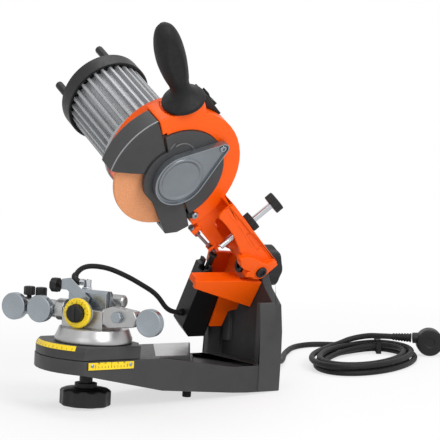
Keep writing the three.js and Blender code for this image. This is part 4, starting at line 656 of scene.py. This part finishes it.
GLAND_RIBS, GLAND_STEP, GLAND_NARROWS = 6, 2.8, 0.3
gland = [(0, 250.3), (8.6, 250.3), (9, 250.7), (9, 252.9), (8.6, 253.3), (7.6, 253.3)]
for rib in range(GLAND_RIBS):
    y, r = 254.4 + rib * GLAND_STEP, 7.5 - rib * GLAND_NARROWS
    gland += [(r - 0.9, y), (r - 0.9, y + 1.0), (r, y + 1.3), (r, y + 2.3)]
gland += [(5.6, 271.4), (5.2, 272), (0, 272)]
piece("cord_gland_ribbed", "cord_gland", lathe("y", gland, 40, GLAND[:2]), MACHINE)

ROLLERS = {"roller_outer": (-90.8, 100), "roller_inner": (-54.6, 100), "roller_right": (95.8, 97)}
ROLLER = [(0, -27.3), (6, -27.3), (12.4, -27.5), (13.6, -28), (15.4, -28), (16.2, -27.6), (16.5, -26.8),
          (16.5, -19.4), (15.7, -18.4), (3, -18.4), (3, -8), (0, -8)]
for node, place in ROLLERS.items():
    piece(node + "_turned", node, lathe("y", ROLLER, 72, place), VISE)

DIAL = (0.7, 100.2)
piece("angle_dial_ring", "angle_dial",
      lathe("y", [(11.4, -31.5), (16.7, -31.5), (17.9, -30.4), (17.9, -27.3), (11.4, -27.3)], 96, DIAL), VISE)
knob_face = [(0, -38.8), (8.5, -38.8), (10.4, -38), (11, -37), (11, -27.6), (5, -27.6), (5, -19.3),
             (0, -19.3)]
dial_grip = combined([
    lathe("y", knob_face, 72, DIAL, lobes(16, 0.5, 11)),
    brick((DIAL[0] - 2, DIAL[0] + 2), (-40, -38), (DIAL[1] - 8.5, DIAL[1] + 8.5)),
])
piece("dial_knob_grip", "dial_knob", dial_grip, VISE, 0.3, angle=40)
LOCK = [(0, 104), (3, 104), (3, 113.2), (6.4, 113.2), (7, 113.9), (7, 122.6), (6, 123.8), (4, 124),
        (0, 124)]
for name, x in (("arm_lock_knob_outer", -81.5), ("arm_lock_knob_inner", -64.6)):
    piece(name + "_grip", name, lathe("z", LOCK, 72, (x, -6.5), lobes(6, 0.8, 7)), VISE)
stop_knob = [(0, -46), (6, -46), (8.2, -45.4), (9, -44.4), (9, -37), (8.4, -36.4), (2.4, -36.4),
             (2.4, -32.3), (0, -32.3)]
piece("chain_stop_knob_grip", "chain_stop_knob",
      lathe("x", stop_knob, 80, (-12.5, 129.5), lobes(8, 0.8, 9)), VISE)
lock_knob = [(0, -13.7), (22, -13.7), (29.4, -13.2), (31, -11.8), (31, 4.2), (29.2, 6.2), (25, 7.2),
             (17, 7.8), (13.6, 8.6), (13.6, 13.6), (8, 13.6), (8, 60), (0, 60)]
piece("vise_lock_knob_grip", "vise_lock_knob",
      lathe("z", lock_knob, 160, radius_at=lobes(10, 1.6, 31)), MACHINE)

tilt_knob = [(0, 250.4), (26.4, 250.4), (28, 251.6), (28, 269.8), (26.6, 271.8), (23, 273.4), (16, 274.6),
             (9, 274.6), (8.4, 273.6), (0, 273.6)]
piece("tilt_lock_knob_grip", "tilt_lock_knob", lathe("y", tilt_knob, 160, radius_at=lobes(8, 2.2, 28)), HEAD)
hinge_pin = [(0, -41.6), (6.4, -41.6), (7, -41), (7, -39.4), (5, -39.4), (5, 39.4), (7.4, 39.4),
             (7.4, 41.3), (6.8, 42), (4, 42), (3.6, 40.6), (0, 40.6)]
piece("hinge_pin_turned", "hinge_pin", lathe("x", hinge_pin, 48, (PIN_Y, PIN_Z)), HEAD)
COIL_TURNS, COIL_STEPS, COIL_R, COIL_X, COIL_LENGTH = 4, 24, 7.4, 12, 8.4
coil = []
for i in range(COIL_TURNS * COIL_STEPS + 1):
    angle = math.tau * i / COIL_STEPS
    coil.append(Vector((COIL_X + COIL_LENGTH * i / (COIL_TURNS * COIL_STEPS),
                        PIN_Y + COIL_R * math.cos(angle), PIN_Z + COIL_R * math.sin(angle))))
spring = tube("return_spring_coil", coil, 0.9, 10)
spring.data.transform(HEAD)
settled(spring, "return_spring")
tilt_bolt = [(0, 224), (3.4, 224), (3.4, 220.5), (7.6, 220.5), (8.2, 221.1), (8.2, 228.6), (5, 228.6),
             (5, 262), (0, 262)]
piece("tilt_bolt_turned", "tilt_bolt", lathe("y", tilt_bolt, 48), HEAD)
piston = [(0, -38), (4, -38), (4, 16.7), (5.6, 16.7), (5.6, 18.7), (5, 19.5), (4, 19.7), (0, 19.7)]
piece("pump_piston_turned", "pump_piston", lathe("z", piston, 40, (0, 173)), HEAD)

# Depth screw with its knob, and the lock nut that rests on the sloped top of the arm.
THREAD_TURNS, THREAD_PITCH = 13, 1.5
screw = [(0, -16.2), (3, -16.2), (4, -15.2)]
for i in range(THREAD_TURNS):
    s0 = -14.8 + i * THREAD_PITCH
    screw += [(4, s0), (3.75, s0 + 0.45), (3.75, s0 + 0.75), (4, s0 + 1.2)]
screw += [(4, 69.8), (0, 70)]
piece("depth_screw_thread", "depth_screw", lathe("z", screw, 40), DEPTH, material="bright_chrome",
      slot="plain_steel")
knob = [(0, 64.6), (11.8, 64.6), (12.6, 65.3), (12.6, 74.2), (11.6, 75.1), (7, 75.2), (0, 75.2)]
piece("depth_knob_grip", "depth_knob", lathe("z", knob, 144, radius_at=lobes(18, 0.8, 12.6)), DEPTH)
top_height = (ARM_TOP[0] + math.tan(TOP_SLOPE) * (SCREW_BACK - ARM_TAIL)) * math.cos(TOP_SLOPE) + 0.3
NUT = [(4.5, 0), (11.2, 0), (12, 0.7), (12, 7.9), (11.2, 8.6), (4.5, 8.6)]
nut = [(radius, top_height + up) for radius, up in NUT]
piece("lock_nut_grip", "lock_nut", lathe("z", nut, 144, radius_at=lobes(18, 0.8, 12)), DEPTH)

# Wheel, and the guard hood with its sloped rim, and a thin pale strip along its crease whose colour is a
# painted highlight.
HOOD_FROM, HOOD_TO, CREASE_FROM, CREASE_TO = (math.radians(v) for v in (158.7, 215.4, 158.9, 215.2))
stone_wheel = [(11.1, -2.4), (71.9, -2.4), (72.5, -1.8), (72.5, 1.8), (71.9, 2.4), (11.1, 2.4)]
piece("grinding_wheel_stone", "grinding_wheel", lathe("x", stone_wheel, 192), WHEEL)
hood = [(39.6, 9.9), (60, 9.5), (76, 8.3), (84.2, 6.2), (84.4, -18.4), (79, -24.5), (39.6, -24.5),
        (39.6, -21.9), (77.5, -21.9), (81.6, -17.4), (81.6, 4.2), (75, 5.6), (39.6, 7.3)]
piece("guard_hood_moulded", "guard_hood",
      lathe("x", hood, 60, start=HOOD_FROM, sweep=HOOD_TO - HOOD_FROM), WHEEL, 0.8, 1)
# A thin ring on the crease, in a pale grey that is a painted highlight along it.
crease = [(83.7, 6.5), (84.1, 6.9), (84.9, 6.1), (84.6, 5.3)]
piece("guard_hood_crease_highlight_strip", "guard_hood",
      lathe("x", crease, 60, start=CREASE_FROM, sweep=CREASE_TO - CREASE_FROM), WHEEL,
      material="hood_crease_painted_highlight", replace=False)

# Nut cover: a pear-shaped tray with a raised disc.
PEAR, PEAR_R, TIP, TIP_R = (5.2, 4.2), 34.6, (13.4, 66), 7.6


def pear(inset):
    """Outline round the big and the small end, drawn in by an inset: the hull of two circles."""
    dots = [*ring_points(PEAR_R - inset, 96, PEAR), *ring_points(TIP_R - inset, 48, TIP)]
    dots.sort()
    sides = []
    for row in (dots, dots[::-1]):
        chain = []
        for q in row:
            while len(chain) > 1 and ((chain[-1][0] - chain[-2][0]) * (q[1] - chain[-2][1])
                                      - (chain[-1][1] - chain[-2][1]) * (q[0] - chain[-2][0])) <= 0:
                chain.pop()
            chain.append(q)
        sides += chain[:-1]
    return sides


pear_plate = combined([prism("x", pear(0), (13.3, 21.5)), prism("x", pear(1.7), (19.0, 30))], "DIFFERENCE")
pear_disc = lathe("x", [(0, 16), (30.4, 16), (30.4, 18.4), (29.4, 20.2), (27.6, 20.9), (25.8, 20.4),
                        (24.6, 19.3), (22.6, 19.2), (0, 19.2)], 96, PEAR)
piece("nut_cover_pear", "nut_cover", combined([pear_plate, pear_disc]), WHEEL, 0.35, angle=34,
      material="nut_cover_gunmetal")

# Cover screws with their sockets.
SCREW_OUT, SCREW_TURN = 74, math.radians(-11.7)
SIDE = (COVER_MID[0] + SCREW_OUT * math.cos(SCREW_TURN), COVER_MID[1] + SCREW_OUT * math.sin(SCREW_TURN))
for name, centre, shank, low, top in (
    ("cover_screw_top", TIP, [(0, 13.4), (1.9, 13.4), (1.9, 17.9)], 17.9, 21),
    ("cover_screw_side", SIDE, [(0, 10.3)], 10.3, 13.2),
):
    head = [(4.6, low), (4.6, top - 1.1), (3.9, top - 0.2), (2.9, top), (1.9, top), (1.9, top - 1.8),
            (0, top - 1.8)]
    piece(name + "_turned", name, lathe("x", shank + head, 40, centre), WHEEL)

# The band of the motor's cap, and the boss under the side screw.
cap_skirt = [(51.3, -176), (51.3, -160.6), (51.8, -159.8), (54.6, -159.8), (55.2, -160.5), (55.2, -180),
             (52.6, -182.4)]
piece("motor_cap_skirt", "motor_end_cap", lathe("x", cap_skirt, 96), WHEEL, 0.3, angle=50, replace=False)
screw_boss = [(0, 4), (5.6, 4), (5.6, 10.2), (4.9, 11), (0, 11)]
piece("side_screw_boss", "arm_casting", lathe("x", screw_boss, 40, (72, -16)), WHEEL, slot="black_plastic",
      replace=False)

# ---------------------------------------------------------------- handle with its lean and flat panel
HANDLE = [(25.4, 0.4), (26.2, 3), (24.4, 6), (18.6, 10.6), (13.9, 16.6), (12, 23), (12.2, 29), (14, 37),
          (16, 50), (17.3, 64), (17.2, 78), (16.2, 89), (14, 100), (10.4, 109), (5.4, 114.6)]
PANEL_X, PANEL_ROUND, PANEL_FROM = 14.6, 0.12, 24
RECESS_MID, RECESS_HALF, RECESS_FROM, RECESS_DEPTH, RECESS_STEEP = 66, (36, 7.6), 9, 0.7, 6
LEAN, LEAN_FROM, LEAN_OVER = 3.4, 14, 70
side_way = BOSS.to_3x3().inverted() @ (-ACROSS)
side_way.z = 0
side_way.normalize()
smooth_outline = [(p.x, p.y) for p in catmull([Vector((r, h, 0)) for r, h in HANDLE], 1.6)]
shape = lathe("z", [(0, 0.4), *smooth_outline, (2.2, 115.9), (0, 116)], 72)
for v in shape.vertices:
    h = v.co.z
    if v.co.x > PANEL_X and h > PANEL_FROM:
        v.co.x = PANEL_X + (v.co.x - PANEL_X) * PANEL_ROUND
    inside = (h - RECESS_MID) ** 2 / RECESS_HALF[0] ** 2 + v.co.y ** 2 / RECESS_HALF[1] ** 2
    if v.co.x > RECESS_FROM and inside < 1 and h > PANEL_FROM:
        v.co.x -= RECESS_DEPTH * min(1.0, (1 - inside) * RECESS_STEEP)
    lean = math.sin(math.pi / 2 * min(max((h - LEAN_FROM) / LEAN_OVER, 0), 1))
    v.co.x += side_way.x * LEAN * lean
    v.co.y += side_way.y * LEAN * lean
piece("handle_grip", "handle", shape, BOSS)

# ---------------------------------------------------------------- plug and strain relief on the cord
RIBS, THIN, BASE_R = 7, 5.0, 6.6
relief_length = (relief_to - relief_from).length / MM - GAP
step = relief_length / RIBS
relief = [(0, 0)]
for i in range(RIBS):
    s0 = relief_length * i / RIBS
    r = THIN + (BASE_R - THIN) * i / RIBS
    relief += [(r - 0.9, s0), (r - 0.9, s0 + step * 0.35), (r, s0 + step * 0.45), (r, s0 + step * 0.95)]
relief += [(BASE_R - 0.6, relief_length), (0, relief_length)]
along = Vector((0, 0, 1)).rotation_difference(relief_way).to_matrix().to_4x4()
RELIEF = Matrix.Translation(relief_from) @ along @ Matrix.Scale(MM, 4)
relief_piece = piece("strain_relief_ribbed", "plug_strain_relief", lathe("z", relief, 40), RELIEF)
PLUG_AT = (459, RELIEF_TO[1], 19.2)
PLUG = Matrix.Translation(on_floor(*PLUG_AT)) @ Matrix((
    (ACROSS.x, 0, -AWAY.x, 0), (ACROSS.y, 0, -AWAY.y, 0), (0, 1, 0, 0), (0, 0, 0, 1))) @ Matrix.Scale(MM, 4)
puck = [(0, -11), (18.2, -11), (19, -10.2), (19, 8), (18.2, 10), (16.4, 11), (7, 11), (6.2, 10.2), (0, 10.2)]
mouth = RELIEF_TO[0] - PLUG_AT[0]
neck = [(0, mouth + 1.4), (7.1, mouth + 1.4), (7.5, mouth + 1.9), (7.5, -13), (0, -13)]
plug_body = combined([lathe("z", puck, 96), lathe("x", neck, 40, (RELIEF_TO[2] - PLUG_AT[2], 0))])
plug_piece = piece("mains_plug_body", "mains_plug", plug_body, PLUG, 0.4, angle=40)
for side, y in (("left", -9.5), ("right", 9.5)):
    pin = lathe("z", [(0, -30), (1.8, -30), (2.4, -29.2), (2.4, -10.6), (0, -10.6)], 24, (0, y))
    piece(f"plug_pin_{side}", "mains_plug", pin, PLUG, slot="plain_steel", replace=False)


# ---------------------------------------------------------------- generic marks: scales, dial and arrow
def marks(name, meshes, group, node, material="print_black", slot="black_plastic"):
    """One piece out of several marks, on a node that stays in sight."""
    b = bmesh.new()
    for mesh in meshes:
        b.from_mesh(mesh)
    joined = bpy.data.meshes.new(name)
    b.to_mesh(joined)
    b.free()
    joined.transform(group)
    settled(new_object(name, joined), node, material=material, slot=slot, replace=False)


def words(text, size):
    """Figures of a scale as a mesh, centred on its own origin."""
    curve = bpy.data.curves.new("word", "FONT")
    curve.body, curve.size, curve.extrude = text, size, WORD_DEPTH
    curve.align_x = curve.align_y = "CENTER"
    obj = new_object("word", curve)
    graph = bpy.context.evaluated_depsgraph_get()
    mesh = bpy.data.meshes.new_from_object(obj.evaluated_get(graph))
    bpy.data.objects.remove(obj)
    return mesh


# The angle dial: a tick for every step, with figures at every second one near the top.
WORD_DEPTH, DIAL_STEP, DIAL_WORD_R, DIAL_WORD_SIZE, DIAL_WORD_Y = 0.08, 15, 12.9, 2.3, -31.52
DIAL_LONG, DIAL_SHORT, DIAL_TICK_END, DIAL_FACE, DIAL_TICK_HALF = 14.0, 14.8, 16.6, (-31.58, -31.45), 0.16
ticks = []
for i in range(-6, 7):
    mesh = brick((DIAL_LONG if i % 2 == 0 else DIAL_SHORT, DIAL_TICK_END), DIAL_FACE,
                 (-DIAL_TICK_HALF, DIAL_TICK_HALF))
    mesh.transform(at(DIAL[0], 0, DIAL[1]) @ turn(-math.radians(90 - i * DIAL_STEP), "Y"))
    ticks.append(mesh)
for i in (-4, -2, 0, 2, 4):
    angle = math.radians(90 - i * DIAL_STEP)
    mesh = words(str(abs(i) * DIAL_STEP), DIAL_WORD_SIZE)
    middle = at(DIAL[0] + DIAL_WORD_R * math.cos(angle), DIAL_WORD_Y, DIAL[1] + DIAL_WORD_R * math.sin(angle))
    mesh.transform(middle @ turn(math.pi / 2, "X") @ turn(angle - math.pi / 2, "Z"))
    ticks.append(mesh)
marks("angle_dial_marks", ticks, VISE, "angle_dial")

# The yellow scale on the sloped edge of the nose, as radius from the nose's arc and height.
BAND = [(0.05, 59.4), (0.45, 59.66), (-3.1, 65.1), (-3.5, 64.84)]
BAND_FROM, BAND_TO, BAND_STEP = -24, 33, 5
BAND_LONG, BAND_SHORT, BAND_TICK_END, BAND_TICK_HALF, BAND_TICK_LIFT = -3.6, -2.4, -0.9, 0.28, (-0.02, 0.1)
BAND_LOW, BAND_HIGH = BAND[1], BAND[2]
band_slope = math.atan2(BAND_HIGH[1] - BAND_LOW[1], BAND_HIGH[0] - BAND_LOW[0])
piece("swivel_scale_band", "swivel_scale",
      lathe("z", [(NOSE_R + out, z) for out, z in BAND], 48, (0, NOSE_MID),
            start=math.radians(BAND_FROM - 90), sweep=math.radians(BAND_TO - BAND_FROM)), MACHINE)
scale_marks = []
for i in range(-4, 7):
    mesh = brick((-BAND_TICK_HALF, BAND_TICK_HALF),
                 (BAND_LONG if i % 2 == 0 else BAND_SHORT, BAND_TICK_END), BAND_TICK_LIFT)
    mesh.transform(at(0, NOSE_MID, 0) @ turn(math.radians(i * BAND_STEP), "Z")
                   @ at(0, -NOSE_R - BAND_LOW[0], BAND_LOW[1]) @ turn(math.pi - band_slope, "X")
                   @ turn(math.pi, "Z"))
    scale_marks.append(mesh)
marks("swivel_scale_marks", scale_marks, MACHINE, "swivel_scale")

# The scale plate on the side of the base, in steps of 5, and its two screws.
PLATE_MID, PLATE_STEP, PLATE_UNIT, PLATE_FOOT, PLATE_LONG, PLATE_SHORT = -2.5, 4.4, 5, 40.2, 4.2, 2.6
PLATE_FACE, PLATE_TICK_HALF, PLATE_WORD_X, PLATE_WORD_Z, PLATE_WORD_SIZE = (59.15, 59.3), 0.28, 59.22, 46, 3
plate_marks = []
for i in range(-5, 6):
    y, reach = PLATE_MID + i * PLATE_STEP, PLATE_LONG if i % 5 == 0 else PLATE_SHORT
    plate_marks.append(brick(PLATE_FACE, (y - PLATE_TICK_HALF, y + PLATE_TICK_HALF),
                             (PLATE_FOOT, PLATE_FOOT + reach)))
for i in (-4, -2, 0, 2, 4):
    mesh = words(str(abs(i) * PLATE_UNIT), PLATE_WORD_SIZE)
    middle = at(PLATE_WORD_X, PLATE_MID + i * PLATE_STEP, PLATE_WORD_Z)
    mesh.transform(middle @ turn(math.pi / 2, "Z") @ turn(math.pi / 2, "X"))
    plate_marks.append(mesh)
marks("side_scale_marks", plate_marks, MACHINE, "side_scale_plate")
plate_screw = [(0, 59), (2.3, 59), (2.3, 59.7), (1.7, 60.2), (0, 60.3)]
for name, y in (("front", -29), ("rear", 24)):
    piece(f"side_scale_screw_{name}", "side_scale_plate", lathe("x", plate_screw, 24, (y, 43.4)), MACHINE,
          slot="plain_steel", replace=False)

# The arrow for the wheel's turning direction, in two raised strokes on the side cover, in a lighter grey that
# is a painted highlight on the relief.
ARROW_X, ARROW_STEP, ARROW_RADIUS, ARROW_SIDES = 13.1, 1.2, 0.95, 10
ARROW = [[(-38.4, 19.6), (-40.4, 28)],
         [(-35.6, 26.4), (-33.8, 31.2), (-30.4, 35.6), (-25.4, 38.7), (-18.4, 40.2), (-10, 39.6)]]
strokes = []
for line in ARROW:
    path = catmull([Vector((ARROW_X, y, z)) for y, z in line], ARROW_STEP)
    stroke = tube("stroke", path, ARROW_RADIUS, ARROW_SIDES)
    strokes.append(stroke.data)
    bpy.data.objects.remove(stroke)
marks("turning_arrow", strokes, WHEEL, "side_cover", "arrow_painted_highlight", slot_of["side_cover"])


# ---------------------------------------------------------------- floor, backdrop and light
def seen_by_eye(tree):
    """One where a camera, glossy or transmission ray meets the floor or the world."""
    rays = tree.nodes.new("ShaderNodeLightPath")
    either = rays.outputs["Is Camera Ray"]
    for ray in ("Is Glossy Ray", "Is Transmission Ray"):
        added = tree.nodes.new("ShaderNodeMath")
        added.operation = "MAXIMUM"
        tree.links.new(either, added.inputs[0])
        tree.links.new(rays.outputs[ray], added.inputs[1])
        either = added.outputs[0]
    return either


# A pale floor that turns to plain white with distance, where a camera or a reflection sees it.
FLOOR_HALF, FLOOR_DROP, FLOOR_TONES = 30, 0.0002, ((0.93, 0.93, 0.93, 1), (0.95, 0.95, 0.95, 1))
FADE_MID, FADE_SHARES, FADE_FROM, FADE_TO = (0.1, 0.1, 0), (0.66, 1.0), 0.35, 0.9
corners = [(x * FLOOR_HALF, y * FLOOR_HALF, 0) for x, y in ((-1, -1), (1, -1), (1, 1), (-1, 1))]
floor = new_object("floor", mesh_of(corners, [(0, 1, 2, 3)]))
floor.location.z = -FLOOR_DROP
f = Tree("floor_pale")
f.shader.inputs["Roughness"].default_value = 0.9
f.shader.inputs["Specular IOR Level"].default_value = 0.0
f.link(f.mixed(f.ranged(f.noise(6, 2.0), 0.0, 1.0), *FLOOR_TONES), f.shader.inputs["Base Color"])
far = f.node("ShaderNodeVectorMath", operation="DISTANCE")
f.link(f.node("ShaderNodeNewGeometry").outputs["Position"], far.inputs[0])
far.inputs[1].default_value = FADE_MID
share = f.ranged(far.outputs["Value"], *FADE_SHARES, FADE_FROM, FADE_TO)
seen_share = f.node("ShaderNodeMath", operation="MULTIPLY")
f.link(share, seen_share.inputs[0])
f.link(seen_by_eye(f.tree), seen_share.inputs[1])
glow = f.node("ShaderNodeEmission")
both = f.node("ShaderNodeMixShader")
f.link(seen_share.outputs[0], both.inputs[0])
f.link(f.shader.outputs[0], both.inputs[1])
f.link(glow.outputs[0], both.inputs[2])
f.link(both.outputs[0], f.tree.nodes["Material Output"].inputs["Surface"])
floor.data.materials.append(f.material)

# The world lights the object softly, and is white where a camera or a reflection sees it.
SKY, SKY_POWER, SEEN, SEEN_POWER = (0.97, 0.98, 1.0, 1), 0.45, (1, 1, 1, 1), 1.0
world = bpy.data.worlds.new("world")
scene.world = world
world.use_nodes = True
tree = world.node_tree
lit = tree.nodes["Background"]
seen = tree.nodes.new("ShaderNodeBackground")
lit.inputs["Color"].default_value, lit.inputs["Strength"].default_value = SKY, SKY_POWER
seen.inputs["Color"].default_value, seen.inputs["Strength"].default_value = SEEN, SEEN_POWER
choose = tree.nodes.new("ShaderNodeMixShader")
tree.links.new(seen_by_eye(tree), choose.inputs[0])
tree.links.new(lit.outputs[0], choose.inputs[1])
tree.links.new(seen.outputs[0], choose.inputs[2])
tree.links.new(choose.outputs[0], tree.nodes["World Output"].inputs["Surface"])

# Round area lamps: where each is, what it points at, its size and its power.
LAMPS = {
    "key": ((2.0, 0.0, 1.5), (0, 0, 0.15), 1.1, 30),
    "top": ((-0.3, 0.3, 2.4), (0, 0, 0.2), 1.6, 18),
    "front": ((0.9, -1.7, 0.9), (0, 0, 0.2), 1.2, 5),
}
for name, (place, target, size, power) in LAMPS.items():
    made = bpy.data.objects.new(name, bpy.data.lights.new(name, "AREA"))
    made.data.shape, made.data.size, made.data.energy = "DISK", size, power
    made.location = place
    made.rotation_mode = "QUATERNION"
    made.rotation_quaternion = (Vector(target) - Vector(place)).to_track_quat("-Z", "Y")
    scene.collection.objects.link(made)
